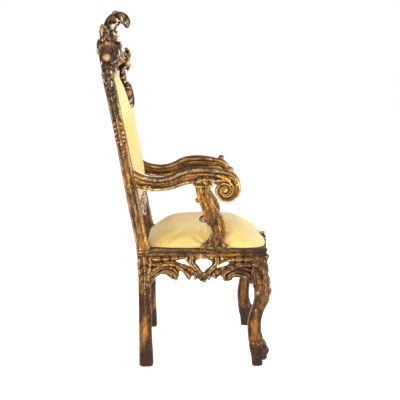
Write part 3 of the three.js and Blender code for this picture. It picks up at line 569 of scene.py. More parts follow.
def post_bare(points, normals):
    z = points[:, 2]
    inner_edge = np.clip((points[:, 0] + 256) / 10, 0, 1) * np.clip(-normals[:, 1], 0, 1) * (z > 620)
    shown = np.clip(0.5 - normals[:, 1] - normals[:, 0], 0, 1)
    leaves = 0.26 * np.clip((z - 850) / 100, 0, 1) + 0.12 * ((z > 470) & (z < 660))
    return 0.55 * inner_edge + shown * leaves


gilded("right_back_post", back_post, post_bright, post_bare, seed=3)
gilded("left_back_post", back_post, post_bright, post_bare, mirror=True, seed=4)

# Side rails: each tenoned between back post and corner block. A double reeded moulding runs along the
# top over a pierced apron of acanthus fronds and C-scrolls round a four-lobed opening. Same gilding.
rail_from = 16
rail_to = 406
rail_face = 282


def on_rail(points, out):
    """Points (f, z) of the side wall, that far from the middle plane."""
    points = np.asarray(points, float)
    return on_side(points[:, 0], points[:, 1], out)


def rail_leaf(points, half, thick, lobes, out=rail_face - 2):
    """A leaf on the side rail, through points (f, z)."""
    return acanthus(on_rail(points, out), right, half, thick + 2, lobes, root=7)


def ring_line(points, count):
    """A smooth closed outline through the points."""
    return spline([*points, points[0]], count)[:-1]


apron_edge = [
    (16, 324), (26, 340), (36, 354), (51, 360), (74, 361), (88, 352), (98, 350), (108, 343), (120, 342),
    (126, 352), (129, 376), (138, 372), (150, 356), (160, 342), (170, 338), (174, 352), (186, 356),
    (199, 344), (208, 342), (216, 331), (226, 330), (233, 342), (242, 350), (262, 352), (276, 351),
    (290, 358), (300, 340), (311, 334), (322, 347), (343, 353), (365, 348), (384, 337), (406, 318),
]
apron = [*spline(apron_edge, 110), (406, rail_top - 12), (16, rail_top - 12)]
openings = [
    ring_line([(111, 412), (128, 417), (148, 419), (156, 410), (170, 392), (160, 388), (146, 394),
               (130, 403)], 44),
    ring_line([(190, 402), (194, 416), (206, 420), (216, 427), (230, 424), (238, 417), (250, 412), (252, 398),
               (244, 388), (230, 378), (222, 366), (212, 374), (205, 388)], 60),
    ring_line([(268, 382), (274, 394), (290, 402), (308, 410), (318, 406), (312, 396), (296, 390)], 40),
]
reeds = np.array([
    (0, -6), (2, 1), (6, 4.5), (10, 6.5), (14, 4.5), (15.5, 1.5), (18, 3.5), (22, 7.5), (27, 8.5),
    (31, 6), (33, 1), (33, -6),
], float)
reeds[:, 0] += rail_top - 33


def oblong(near, far, low, high):
    """The four corners of a straight bar's section."""
    return [(near, low), (far, low), (far, high), (near, high)]


def rail_bar(corners, end=rail_to):
    """A straight bar of the side rail: its section is points (out, z)."""
    corners = np.asarray(corners, float)
    return closed_skin([on_side(f, corners[:, 1], corners[:, 0]) for f in np.linspace(rail_from, end, 9)])


rail_shells = [
    slab(apron, on_side, rail_face - 24, rail_face - 6, openings),
    rail_bar(oblong(248, rail_face - 2, rail_top - 42, rail_top - 2)),
    rail_bar(oblong(237, 249, 418, 430)),
    rail_bar(np.stack([rail_face - 1 + reeds[:, 1], reeds[:, 0]], 1), rail_to + 8),
]
fronds = [
    # from the back post's knee to the left opening
    ([(12, 318), (26, 346), (52, 370), (84, 378), (108, 366), (122, 344)], 6, 9, 0),
    ([(12, 334), (28, 362), (58, 386), (92, 388), (112, 378), (121, 364)], 6, 10, 0),
    ([(12, 352), (34, 380), (66, 398), (100, 400), (126, 391), (144, 378)], 6, 9, 0),
    ([(84, 372), (104, 362), (116, 346), (118, 338)], 12, 9, 2),
    ([(30, 350), (52, 368), (78, 372), (96, 364), (102, 348)], 10, 8, 3),
    ([(24, 400), (52, 398), (82, 404), (112, 398), (140, 380), (160, 362), (170, 342)], 11, 8, 4),
    ([(24, 420), (60, 421), (98, 424), (132, 428), (158, 426)], 10, 7, 4),
    ([(24, 378), (44, 386), (66, 384), (86, 376)], 9, 7, 2),
    ([(128, 402), (150, 392), (172, 380), (196, 362), (200, 346)], 10, 8, 3),
    # small tips along the lower edge
    ([(92, 368), (98, 354), (100, 342)], 6, 8, 0),
    ([(108, 366), (113, 352), (114, 337)], 6, 8, 0),
    ([(184, 366), (190, 352), (188, 339)], 6, 8, 0),
    ([(200, 362), (209, 350), (208, 335)], 6, 8, 0),
    ([(244, 366), (240, 352), (244, 338)], 6, 8, 0),
    ([(258, 366), (262, 354), (270, 344)], 6, 8, 0),
    ([(298, 362), (300, 348), (298, 336)], 6, 8, 0),
    ([(318, 364), (322, 350), (328, 340)], 6, 8, 0),
    # the drop in the middle
    ([(222, 372), (214, 356), (200, 346)], 9, 9, 2),
    ([(222, 372), (232, 358), (246, 350)], 9, 9, 2),
    ([(222, 366), (223, 348), (223, 330)], 11, 10, 2),
    # from the front block to the right opening
    ([(404, 334), (382, 352), (354, 362), (332, 356), (318, 342)], 6, 9, 0),
    ([(404, 354), (376, 370), (344, 374), (318, 362), (308, 344)], 6, 10, 0),
    ([(404, 376), (370, 386), (336, 384), (306, 370), (288, 352)], 6, 9, 0),
    ([(352, 366), (328, 360), (312, 344), (310, 334)], 12, 9, 2),
    ([(404, 396), (366, 398), (330, 388), (300, 376), (288, 360)], 12, 8, 4),
    ([(404, 350), (378, 352), (352, 358), (332, 352)], 9, 7, 2),
    ([(404, 420), (370, 421), (338, 420), (308, 416)], 10, 7, 3),
    ([(300, 392), (282, 376), (262, 366), (250, 352)], 9, 8, 3),
]
rail_shells += [rail_leaf(points, half, thick, lobes) for points, half, thick, lobes in fronds]
twist = [
    (-1, -0.8), (-1, 0.35), (-0.75, 0.8), (-0.45, 0.9), (-0.2, 0.45), (0.1, 0.5), (0.35, 0.95),
    (0.7, 0.85), (1, 0.35), (1, -0.8),
]


def scroll(line, up, wide, deep, end=0.35):
    """A carved scroll along a line of points: two ridges with a hollow between, finer at both its ends."""
    size = end + (1 - end) * np.sin(np.linspace(0.25, np.pi - 0.12, len(line)))
    section = np.array(twist)[None] * np.stack([wide * size, deep * size], 1)[:, None]
    return moulding(line, up, section)


for way, foot in ((-1, 158), (1, 286)):
    # a C-scroll on each side of the opening, its upper end coiled round an eye
    line = [(foot + way * 2, 432), (foot - way * 8, 438), (foot - way * 17, 430), (foot - way * 15, 416),
            (foot - way * 18, 402), (foot - way * 30, 388), (foot - way * 44, 372), (foot - way * 60, 364)]
    rail_shells.append(scroll(on_rail(spline(line, 46), rail_face), right, 8, 8))
    rail_shells.append(bead(on_side(foot + way * 4, 424, rail_face + 1), 6.5))
rail_shells += [
    scroll(on_rail(spline(line, 30), rail_face), right, 6, 7)
    for line in (
        [(186, 436), (204, 430), (222, 434), (240, 430), (258, 436)],
        [(10, 308), (26, 340), (44, 372), (70, 398), (104, 410)],
        [(404, 338), (384, 362), (352, 382), (318, 388)],
    )
]
# the rosette under the arm's support
for k in range(-3, 4):
    lean = k * 0.42
    tip = (250 + 26 * math.sin(lean), 436 + 24 * math.cos(lean))
    middle = ((250 + tip[0]) / 2, (434 + tip[1]) / 2)
    rail_shells.append(rail_leaf([(250, 432), middle, tip], 6, 7, 0, rail_face + 7))
rail_shells.append(bead(on_side(250, 432, rail_face + 9), 8))
side_rail = fused(rail_shells, voxel=2.3)
side_rail[0][:, 2] = np.minimum(side_rail[0][:, 2], rail_top)


def rail_bright(points, normals):
    f, z = leg_y - points[:, 1], points[:, 2]
    top = np.clip((z - 436) / 6, 0, 1)
    tips = np.clip((370 - z) / 20, 0, 1)
    band = np.exp(-(((z - 416) / 13) ** 2))
    at_block = np.clip((f - 318) / 50, 0, 1) * (1 - top)
    return -0.48 * top + 0.34 * band - 0.25 * tips - 0.4 * at_block


def rail_bare(points, normals):
    low = 0.16 * (points[:, 2] < 400) * np.clip(-normals[:, 0] - normals[:, 1], 0, 1)
    return low + 0.6 * (points[:, 2] > 465.5)


def lengthwise(points):
    """Places in the gilding's streaks, for a piece that runs from back to front."""
    return points * (1, 0.45, 1)


def crosswise(points):
    """Places in the gilding's streaks, for a piece that runs from side to side."""
    return points * (0.45, 1, 1)


gilded("right_side_seat_rail", side_rail, rail_bright, rail_bare, lengthwise, seed=11)
gilded("left_side_seat_rail", side_rail, rail_bright, rail_bare, lengthwise, mirror=True, seed=12)

# Front rail: the same mouldings and carving between the corner blocks, bowed a little forward, with a
# shell on its middle that rises in front of the seat.
block_out = 275
block_f = 431
rail_half = 245.5
front_face = 454
to_front = (0, -1, 0)


def on_front(x, z, f):
    """A point of the bowed front: f is how far forward it would be if the rail were straight."""
    x = np.asarray(x, float)
    return on_chair(x, f + 18 * (1 - (x / rail_half) ** 2), z)


front_edge = [
    (0, 318), (16, 334), (32, 342), (54, 334), (66, 352), (88, 356), (110, 336), (122, 364), (146, 352),
    (162, 340), (182, 358), (214, 352), (rail_half, 330),
]
front_line = spline(front_edge, 60)
front_board = [*(front_line[:0:-1] * (-1, 1)), *front_line]
front_board += [(rail_half, rail_top - 14), (-rail_half, rail_top - 14)]
front_holes = []
for way in (-1, 1):
    for loop in ([(32, 368), (40, 392), (52, 402), (74, 394), (66, 374)],
                 [(98, 402), (118, 410), (140, 410), (162, 398), (150, 388), (130, 384)]):
        front_holes.append(ring_line([(way * x, z) for x, z in loop], 36))


def front_bar(corners):
    """A bar of the bowed front rail: its section is points (f, z)."""
    corners = np.asarray(corners, float)
    stations = np.linspace(-rail_half, rail_half, 41)
    return closed_skin([on_front(x, corners[:, 1], corners[:, 0]) for x in stations])


def front_leaf(points, half, thick, lobes):
    """A leaf on the front rail, through points (x, z)."""
    points = np.asarray(points, float)
    path = on_front(points[:, 0], points[:, 1], front_face - 2)
    return acanthus(path, to_front, half, thick + 2, lobes, root=7)


front_shells = [
    slab(front_board, on_front, front_face - 24, front_face - 6, front_holes),
    front_bar(oblong(420, front_face - 2, rail_top - 42, rail_top - 2)),
    front_bar(oblong(408, 421, 418, 430)),
    front_bar(np.stack([front_face - 1 + reeds[:, 1], reeds[:, 0]], 1)),
]
for way in (-1, 1):
    for points, half, thick, lobes in (
        ([(246, 374), (212, 376), (184, 372), (166, 356), (160, 338)], 16, 9, 4),
        ([(246, 400), (214, 402), (182, 394), (160, 380), (146, 356)], 12, 8, 4),
        ([(246, 422), (206, 422), (168, 420), (138, 422)], 10, 7, 3),
        ([(130, 420), (112, 396), (98, 372), (106, 340)], 13, 8, 4),
        ([(96, 424), (78, 420), (50, 422), (24, 424)], 9, 7, 3),
        ([(30, 372), (40, 356), (56, 338)], 12, 8, 2),
        ([(60, 380), (76, 366), (90, 356)], 9, 8, 2),
    ):
        front_shells.append(front_leaf([(way * x, z) for x, z in points], half, thick, lobes))
    line = np.array([(84, 432), (94, 424), (92, 408), (82, 392), (70, 376), (50, 366), (26, 366)])
    line = spline(line * (way, 1), 44)
    front_shells.append(scroll(on_front(line[:, 0], line[:, 1], front_face), to_front, 8, 9))
    front_shells.append(bead(on_front(way * 86, 422, front_face + 2), 7))
# the shell: nine ribs that widen to a scalloped edge, which rolls forward a little
lean = np.linspace(-1.5, 1.5, 90)
rib = np.abs(np.cos(lean * 3 * np.pi))
shell_rings = []
for turn, proud in zip(lean, rib):
    share = np.linspace(0.1, 1, 14)
    reach = share * (58 - 5 * abs(turn)) * (1 - 0.1 * (1 - proud) * share)
    face = 4 + 8 * share**0.7 * (0.35 + 0.65 * proud) + 5 * np.clip(share - 0.8, 0, 1) * 5 * proud
    reach, depth = np.concatenate([reach, reach[::-1]]), np.concatenate([face, 0 * face - 8])
    shell_rings.append(on_front(reach * math.sin(turn), 422 + reach * math.cos(turn), front_face + depth))
front_shells.append(closed_skin(shell_rings))
front_shells += [
    bead(on_front(0, 424, front_face + 6), 10, (1.3, 1, 1)),
    front_leaf([(0, 410), (0, 376), (0, 346), (0, 320)], 20, 11, 4),
]
front_rail = fused(front_shells, voxel=2.6)
front_rail[0][:, 0] = np.clip(front_rail[0][:, 0], -rail_half, rail_half)
gilded("front_seat_rail", front_rail, rail_bright, rail_bare, crosswise, seed=21)

# Rear rail: a plain bar between the posts, hidden by the seat, only smoothed and coated.
rear_stations = np.linspace(-between_posts, between_posts, 9)


def rear_bar(corners):
    """A bar of the rear rail: its section is points (f, z)."""
    corners = np.asarray(corners, float)
    return closed_skin([on_chair(x, corners[:, 0], corners[:, 1]) for x in rear_stations])


turn = np.linspace(0, 2 * np.pi, 12, endpoint=False)
rear_shells = [
    rear_bar(oblong(-20, 10, 394, 462)),
    rear_bar(oblong(9, 21.5, 418, 430)),
    rear_bar(np.stack([-20 + 5 * np.sin(turn), 402 + 5 * np.cos(turn)], 1)),
]
gilded("rear_seat_rail", fused(rear_shells, voxel=3.0), grain=crosswise, seed=31)

# Front legs: each is one piece with its corner block, a cabriole leg that bows out at a leafy knee and
# ends in a scrolled toe on a small foot. The block's faces are cut with a small lattice.
leg_stations = [
    (348, 3, 29), (325, 8, 31), (305, 12.5, 31), (277, 12, 29.5), (250, 7.5, 27.5), (216, -4, 25.5),
    (182, -11.5, 25.5), (150, -14, 26), (112, -11, 27.5), (82, -5, 30), (58, -1, 30.5), (38, -1, 25.5),
    (22, -3, 21.5), (8, -2, 21), (0, -3, 19),
]
leg_line = spline(leg_stations, 130)
leg_section = squared(12, 3.2)


def on_corner(c, z, aside=0.0):
    """A point on the leg's outward diagonal, and so far to the side of it."""
    c, aside = np.asarray(c, float), np.asarray(aside, float)
    return on_chair(-(block_out + c - aside * diagonal), block_f + c + aside * diagonal, z)


outward = np.array([-1, -1, 0.0]) / math.sqrt(2)
diagonal = 0.7071
sideways = np.array([diagonal, -diagonal, 0])
leg_rings = []
for z, c, half in leg_line:
    a, b = half * leg_section.T
    leg_rings.append(on_chair(-(block_out + c + a), block_f + c + b, max(0, z)))
square = squared(8, 14)


def block_ring(aside, ahead, z):
    """The corner block's section at a height, from its half width and half depth."""
    return on_chair(-(block_out + aside * square[:, 0]), block_f + ahead * square[:, 1], z)


block_levels = [(330, 24), (334, 27), (462, 27), (463, 26)]
leg_shells = [
    closed_skin(leg_rings),
    closed_skin([block_ring(half, half, z) for z, half in block_levels]),
    # the rails' moulding turns round the block
    closed_skin([block_ring(23 + out, 22.5 + out, z) for z, out in reeds[1:-1]]),
]
for k in range(-5, 6):
    # the lattice: thin raised bars crossing on both outer faces of the block
    for way in (-1, 1):
        a, b = np.array([k * 11 - way * 30, 360.0]), np.array([k * 11 + way * 30, 430.0])
        t = np.linspace(0, 1, 9)[:, None]
        bar = a + (b - a) * t
        bar = bar[np.abs(bar[:, 0]) < 26]
        if len(bar) > 2:
            fine = np.array([(-1.4, -2), (-0.8, 1.2), (0.8, 1.2), (1.4, -2)])
            on_the_side = on_chair(-(block_out + 27.5), block_f + bar[:, 0], bar[:, 1])
            on_the_front = on_chair(-(block_out + bar[:, 0]), block_f + 27.5, bar[:, 1])
            leg_shells.append(moulding(on_the_side, right, fine))
            leg_shells.append(moulding(on_the_front, to_front, fine))


def corner_leaf(points, half, thick, lobes):
    """A leaf down the leg's outward corner, through points (c, z)."""
    return acanthus([on_corner(c, z) for c, z in points], outward, half, thick, lobes)


leg_shells += [
    bead(on_corner(27, 433), 10.5),
    corner_leaf([(22, 412), (24, 385), (28, 350), (33, 320), (34, 292), (30, 264), (24, 240)], 22, 7, 4),
    corner_leaf([(5, 140), (9, 112), (18, 90), (26, 80)], 15, 6, 2),
    corner_leaf([(20, 70), (25, 56), (25, 42), (20, 26)], 18, 7, 2),
]
for points, half, thick, lobes in (
    # down the knee, across the block and over the foot, on the face to the chair's side and on the front
    ([(26, -11, 412), (27, -17, 380), (31, -19, 350), (38, -13, 320), (39, -3, 290), (34, 5, 264)], 14, 5, 3),
    ([(27, -29, 372), (30, -17, 352), (36, 1, 336), (36, 17, 326)], 12, 6, 2),
    ([(27, -18, 428), (29, 4, 424), (28, 24, 412)], 11, 5, 3),
    ([(26, -28, 404), (29, -8, 398), (31, 14, 384), (32, 26, 366)], 13, 6, 3),
    ([(27, -29, 384), (29, -16, 368), (30, -4, 348), (30, 2, 330)], 10, 5, 2),
    ([(20, -26, 98), (25, -14, 88), (29, 4, 76), (30, 20, 66)], 12, 6, 2),
    ([(20, -26, 62), (22, -10, 52), (24, 8, 48), (24, 22, 50)], 9, 5, 2),
):
    on_the_side = [on_chair(-(block_out + s), block_f + f, z) for s, f, z in points]
    on_the_front = [on_chair(-(block_out + f), block_f + s, z) for s, f, z in points]
    leg_shells.append(acanthus(on_the_side, right, half, thick, lobes))
    leg_shells.append(acanthus(on_the_front, to_front, half, thick, lobes))
for way in (-1, 1):
    # the toe: a coil seen from each side, with a ridge that runs up the edge of the shin
    eye = on_corner(18, 62, way * 12)
    coil = spiral((0, 0), 19, 0.2, 0.75 * np.pi, -2.1 * np.pi, 50)
    line = eye + np.outer(coil[:, 0], outward) + np.outer(coil[:, 1], (0, 0, 1))
    leg_shells.append(scroll(line, way * sideways, 5, 9, 0.5))
    leg_shells.append(bead(eye, 9))
    shin = [
        (6, 300, 20), (-2, 250, 20), (-8, 215, 18), (-14, 180, 17), (-15, 145, 17), (-9, 110, 19),
        (6, 86, 18),
    ]
    edge_line = spline([on_corner(c + 9, z, way * a) for c, z, a in shin], 60)
    fillet = np.array([(-2.5, -3), (-1.5, 2), (1.5, 2), (2.5, -3)])
    leg_shells.append(moulding(edge_line, outward + way * sideways, fillet))
leg_shells += [bead(on_corner(24, 74), 11, (1, 1, 0.8)), bead(on_corner(6, 224, -26), 4)]
front_leg = fused(leg_shells, voxel=2.3)
front_leg[0][:, 2] = np.clip(front_leg[0][:, 2], 0, rail_top)


def leg_bright(points, normals):
    z = points[:, 2]
    heights = leg_line[::-1, 0]
    c = np.interp(z, heights, leg_line[::-1, 1])
    half = np.interp(z, heights, leg_line[::-1, 2])
    aside, ahead = -points[:, 0] - block_out - c, leg_y - points[:, 1] - block_f - c
    off_centre = np.minimum(np.abs(aside), np.abs(ahead)) / half
    # painted highlight down the middle of each face of the shin, with rubbed gold, and painted shade towards
    # the leg's corners
    shin = np.exp(-(((z - 180) / 62) ** 2))
    dark_ends = -0.7 * np.clip((95 - z) / 25, 0, 1) - 0.62 * np.clip((z - 436) / 6, 0, 1)
    knee = np.clip((z - 235) / 60, 0, 1) * (z < 440)
    # painted shade on the inner faces, under the seat
    inner = np.clip(normals[:, 0], 0, 1)
    rubbed_and_highlit = shin * (0.32 - 1.1 * np.clip(off_centre, 0, 1) ** 1.5)
    return rubbed_and_highlit + dark_ends - 0.2 * knee - 0.16 - 0.3 * inner


def leg_bare(points, normals):
    z = points[:, 2]
    return 0.33 * np.exp(-(((z - 320) / 34) ** 2)) + 0.16 * np.exp(-(((z - 400) / 30) ** 2))


gilded("right_front_leg", front_leg, leg_bright, leg_bare, seed=41)
gilded("left_front_leg", front_leg, leg_bright, leg_bare, mirror=True, seed=42)

# Arm supports: S-shaped, each doweled to the side rail and under the arm. A pale rubbed flute runs up
# the outer face between leaves, its edges are cut in scales, and buds curl from the rear edge.
foot_z, head_z = 464.3, 705.7
support_out = 293
support_wide = 40
support_rear = [
    (205, foot_z), (214, 474), (228, 484), (240, 500), (246, 517), (244, 534), (235, 551), (223, 566),
    (214, 578), (219, 590), (214, 605), (206, 625), (199, 645), (194, 665), (190, 686), (187, head_z),
]
support_front = [
    (320, foot_z), (304, 474), (299, 484), (303, 496), (309, 515), (311, 538), (305, 560), (294, 582),
    (281, 602), (266, 622), (254, 646), (246, 668), (245, 686), (251, head_z),
]
rear_line, fore_line = spline(support_rear, 110), spline(support_front, 110)
support_section = squared(14, 4.5)


def support_ring(i):
    """The support's section at that step of its two edge lines, with a flute in its outer face."""
    front, rear = fore_line[i], rear_line[i]
    centre, deep = (front + rear) / 2, (front - rear) / 2
    a, b = support_section.T
    groove = 4.0 * np.exp(-(((a - 0.05) / 0.22) ** 2))
    groove += 1.5 * np.exp(-(((np.abs(a - 0.05) - 0.62) / 0.1) ** 2))
    out = support_out - support_wide / 2 + support_wide / 2 * b - np.clip((b - 0.5) / 0.3, 0, 1) * groove
    return on_side(centre[0] + deep[0] * a, centre[1] + deep[1] * a, out)


def support_leaf(points, half, thick, lobes):
    """A leaf on the support's outer face, through points (f, z)."""
    return acanthus(on_rail(points, support_out - 1), right, half, thick, lobes)


support_shells = [closed_skin([support_ring(i) for i in range(110)])]
for line, side in ((rear_line, 1), (fore_line, -1)):
    # two rows of scales along both edges
    for inset, size in ((4, 3.7), (9.5, 3.3)):
        row = on_side(line[12:98, 0] + side * inset, line[12:98, 1], support_out - 2.2)
        support_shells.append(beaded(row, spacing=6.2, radius=size, flattening=0.9, unevenness=0.2,
                                     seed=int(inset)))
support_shells += [
    bead(on_side(216, 574, support_out - 16), 13, (1.4, 1, 1)),
    bead(on_side(216, 574, support_out - 1), 8),
    bead(on_side(197, 645, support_out - 16), 9, (1.4, 1, 1)),
    support_leaf([(262, 470), (276, 500), (282, 530), (276, 556)], 14, 6, 3),
    support_leaf([(232, 472), (254, 492), (264, 516)], 11, 6, 2),
    support_leaf([(300, 470), (290, 488), (292, 510)], 10, 6, 2),
    support_leaf([(210, 700), (212, 672), (222, 640), (236, 612)], 9, 5, 3),
    support_leaf([(240, 702), (234, 676), (236, 652)], 10, 5, 2),
    support_leaf([(206, 466), (222, 476), (240, 480)], 9, 7, 2),
    support_leaf([(318, 466), (306, 474), (290, 476)], 9, 7, 2),
]
curl = spiral((220, 574), 12, 0.22, -0.1 * np.pi, 2.2 * np.pi, 36)
support_shells.append(scroll(on_rail(curl, support_out - 2), right, 3.5, 6, 0.6))
collar_line = on_side([187, 220, 252], 698, support_out)
support_shells.append(beaded(collar_line, spacing=8, radius=4.4, flattening=1, unevenness=0.1, seed=9))
support = fused(support_shells, voxel=2.2)
support[0][:, 2] = np.clip(support[0][:, 2], foot_z, head_z)


def support_bright(points, normals):
    z = points[:, 2]
    return 0.12 * np.clip((z - 600) / 60, 0, 1) - 0.05


def support_bare(points, normals):
    f, z = leg_y - points[:, 1], points[:, 2]
    fore, rear = (np.interp(z, line[:, 1], line[:, 0]) for line in (fore_line, rear_line))
    middle = (fore + rear) / 2
    flute = np.exp(-(((f - middle - 2) / 7) ** 2)) * np.clip(-normals[:, 0], 0, 1)
    return 0.55 * flute * np.exp(-(((z - 590) / 60) ** 2)) + 0.1


gilded("right_arm_support", support, support_bright, support_bare, seed=51)
gilded("left_arm_support", support, support_bright, support_bare, mirror=True, seed=52)

# Arms: each is tenoned into the back post and laid on its support, moulded in three bands along its
# length and coiled forward into a volute of two turns. A bud sits on the outside of the coil.
arm_out = 302
arm_wide = 52
coil_f, coil_z, coil_reach, coil_shrink = 300, 685, 75, 0.155
arm_top = [
    (-42, 758), (-22, 747), (-3, 739), (24, 734), (51, 732), (86, 737), (108, 746), (129, 757),
    (147, 764), (165, 769), (201, 773), (240, 771), (273, 766),
]
arm_bottom = [
    (-30, 694), (-21, 689), (-4, 683), (15, 680), (40, 679), (68, 681), (92, 685), (115, 690),
    (134, 697), (151, 703), (183, 709), (225, 712), (262, 712),
]
turns = np.linspace(0, 2, 130)
angle = np.pi / 2 - turns * 2 * np.pi
reach = coil_reach * np.exp(-coil_shrink * (np.pi / 2 - angle))
inner = reach * math.exp(-coil_shrink * 2 * np.pi) * 1.04
coil_top = np.stack([coil_f + reach * np.cos(angle), coil_z + reach * np.sin(angle)], 1)
coil_low = np.stack([coil_f + inner * np.cos(angle), coil_z + inner * np.sin(angle)], 1)
straight = 90
top_line = np.vstack([spline([*arm_top, coil_top[0]], straight)[:-1], coil_top])
low_line = np.vstack([spline([*arm_bottom, coil_low[0]], straight)[:-1], coil_low])
# the section's outer face, from its lower edge to its upper: bead, groove, hollow band, groove, top rail
profile = np.array([
    (0, 0.2), (0.03, 0.62), (0.1, 0.86), (0.18, 0.9), (0.25, 0.8), (0.29, 0.62), (0.33, 0.68),
    (0.4, 0.66), (0.48, 0.7), (0.54, 0.78), (0.58, 0.8), (0.61, 0.58), (0.65, 0.62), (0.69, 0.86),
    (0.76, 0.99), (0.85, 1.0), (0.93, 0.88), (0.98, 0.6), (1, 0.3),
])
section_line = np.vstack([profile, profile[::-1] * (1, -1)])
arm_rings = []
for i, (high, low) in enumerate(zip(top_line, low_line)):
    fade = max(0, i - straight) / len(turns)
    q, b = section_line.T
    deep = arm_wide / 2 * (1 - 0.12 * fade) + 3 * math.sin(min(1, fade * 2) * np.pi)
    at = low + (high - low) * q[:, None]
    arm_rings.append(on_side(at[:, 0], at[:, 1], arm_out - arm_wide / 2 + deep * b))


def arm_leaf(points, half, thick, lobes):
    """A leaf on the arm's outer face, through points (f, z)."""
    return acanthus(on_rail(points, arm_out - 2), right, half, thick, lobes)


arm_shells = [closed_skin(arm_rings)]
arm_shells += [
    bead(on_side(318, 760, arm_out - 14), 14),
    bead(on_side(318, 760, arm_out - 34), 12),
    arm_leaf([(190, 716), (212, 724), (238, 726), (262, 718)], 12, 6, 3),
    arm_leaf([(216, 718), (240, 708), (256, 700)], 9, 6, 2),
    arm_leaf([(262, 742), (290, 736), (312, 722), (322, 704)], 8, 4, 2),
    arm_leaf([(-8, 700), (8, 692), (26, 690)], 12, 5, 2),
]
# the leaf that wraps the outside of the coil, from the bud down to its underside
wrap_angle = np.pi * np.array([0.38, 0.26, 0.14, 0.03, -0.05])
wrap_reach = np.array([67, 61, 55, 53, 59])
wrap = np.stack([coil_f + wrap_reach * np.cos(wrap_angle), coil_z + wrap_reach * np.sin(wrap_angle)], 1)
wrap_up = np.stack([0 * wrap[:, 0], -(wrap[:, 0] - coil_f), wrap[:, 1] - coil_z], 1)
wrap_up /= np.linalg.norm(wrap_up, axis=1, keepdims=True)
arm_shells.append(acanthus(on_rail(wrap, arm_out - arm_wide / 2), wrap_up, 28, 7, 3, droop=0.2, start=0.3))
arm_shells.append(bead(on_side(coil_f, coil_z, arm_out - 5), 9))
arm_shells.append(bead(on_side(coil_f, coil_z, arm_out - arm_wide + 5), 9))
joint_line = on_side([-22, -8, 8, 24], [691, 687, 685, 688], arm_out - 4)
arm_shells.append(beaded(joint_line, spacing=6, radius=4.3, flattening=1, unevenness=0.1, seed=5))
arm = fused(arm_shells, voxel=2.3)


def arm_bright(points, normals):
    f, z = leg_y - points[:, 1], points[:, 2]
    from_eye = np.hypot(f - coil_f, z - coil_z)
    inside = np.clip((62 - from_eye) / 15, 0, 1)
    # painted light on the undersides, as from the floor; the tops keep less gold, where dust and wear lie
    low = np.clip(-normals[:, 2] + 0.2, 0, 1)
    return 0.45 * inside + 0.15 * low - 0.35 * np.clip(normals[:, 2], 0, 1)


def arm_bare(points, normals):
    f = leg_y - points[:, 1]
    return 0.25 * np.exp(-(((f - 10) / 25) ** 2)) + 0.1


def along_arm(points):
    """The streaks follow the bar, and turn with the coil."""
    f, z = leg_y - points[:, 1], points[:, 2]
    far = np.hypot(f - coil_f, z - coil_z)
    turned = np.arctan2(z - coil_z, f - coil_f) * 22
    under = np.interp(f, low_line[:straight, 0], low_line[:straight, 1])
    straight_run = np.stack([points[:, 0], 0.25 * f, z - under], 1)
    coiled = np.stack([points[:, 0], 0.25 * coil_f + turned, far], 1)
    return np.where((f < 262)[:, None], straight_run, coiled)


gilded("right_arm", arm, arm_bright, arm_bare, along_arm, seed=61)
gilded("left_arm", arm, arm_bright, arm_bare, along_arm, mirror=True, seed=62)

# Lower back rail: tenoned between the posts over the seat, its lower edge scalloped and its face carved
# with leaves that meet in a husk. Much of its gold is lost and the gesso shows.
low_half = between_posts
forward = np.array([0, -math.cos(rake), math.sin(rake)])
low_edge = [
    (low_half, 100), (190, 116), (150, 108), (118, 102), (92, 110), (66, 108), (40, 90), (0, 80),
]
low_line_back = spline(low_edge, 50)
low_board = [*low_line_back, *(low_line_back[-2::-1] * (-1, 1)), (-low_half, 171.5), (low_half, 171.5)]


def back_leaf(points, half, thick, lobes, lift=0.0, **more):
    """A leaf on the front of the raked back, through points (x, v)."""
    points = np.asarray(points, float)
    return acanthus(on_back(points[:, 0], points[:, 1], lift), forward, half, thick, lobes, **more)


low_shells = [slab(low_board, on_back, -34, -8)]
low_shells.append(back_leaf([(0, 160), (0, 130), (0, 104), (0, 82)], 22, 9, 4, -8))
for way in (-1, 1):
    for points, half, lobes in (
        ([(24, 140), (60, 150), (100, 148), (140, 136), (170, 128)], 13, 5),
        ([(232, 120), (204, 136), (176, 150), (140, 156)], 12, 4),
        ([(60, 128), (90, 120), (118, 112)], 9, 2),
        ([(214, 112), (188, 122), (164, 120)], 8, 2),
    ):
        low_shells.append(back_leaf([(way * x, v) for x, v in points], half, 7, lobes, -8))
    line = spline([(way * 230, 164), (way * 120, 166), (way * 20, 164)], 60)
    half_round = np.array([(-4, -3), (-3, 3), (0, 5), (3, 3), (4, -3)])
    low_shells.append(moulding(on_back(line[:, 0], line[:, 1], -8), forward, half_round))
low_rail = fused(low_shells, voxel=2.7)


def low_bare(points, normals):
    return 0.75 * np.clip(normals @ forward + 0.4, 0, 1)


gilded("lower_back_rail", low_rail, plain, low_bare, crosswise, seed=71)

# Crest: the top rail of the back, mortised on the posts. Corner volutes hold gilded balls, sprays and
# C-scrolls rise to a great leaf that curls over forward, and a leafy drop hangs over the panel.
spring = 640
inner_x = 240
post_head = 668.3
arch = [
    (inner_x, spring), (218, spring + 17), (151, spring + 34), (90, spring + 20), (68, spring - 24),
    (48, spring - 78), (0, spring - 120),
]
arch_line = spline(arch, 60)
crest_edge = [
    (0, 852), (30, 846), (60, 836), (96, 794), (122, 784), (149, 778), (182, 776), (214, 764),
    (250, 758), (276, 744), (289, 725), (290, 700), (290, post_head),
]
top_run = spline(crest_edge, 70)
crest_half = [*top_run, (inner_x, post_head), *arch_line[:-1]]
crest_board = [*crest_half, (0, spring - 120), *([(-x, v) for x, v in reversed(crest_half)][:-1])]


def on_profile(points, x=0.0):
    """Points (w, v) of the back's side view, in a plane of that x."""
    points = np.asarray(points, float)
    return on_back(x, points[:, 1], points[:, 0])


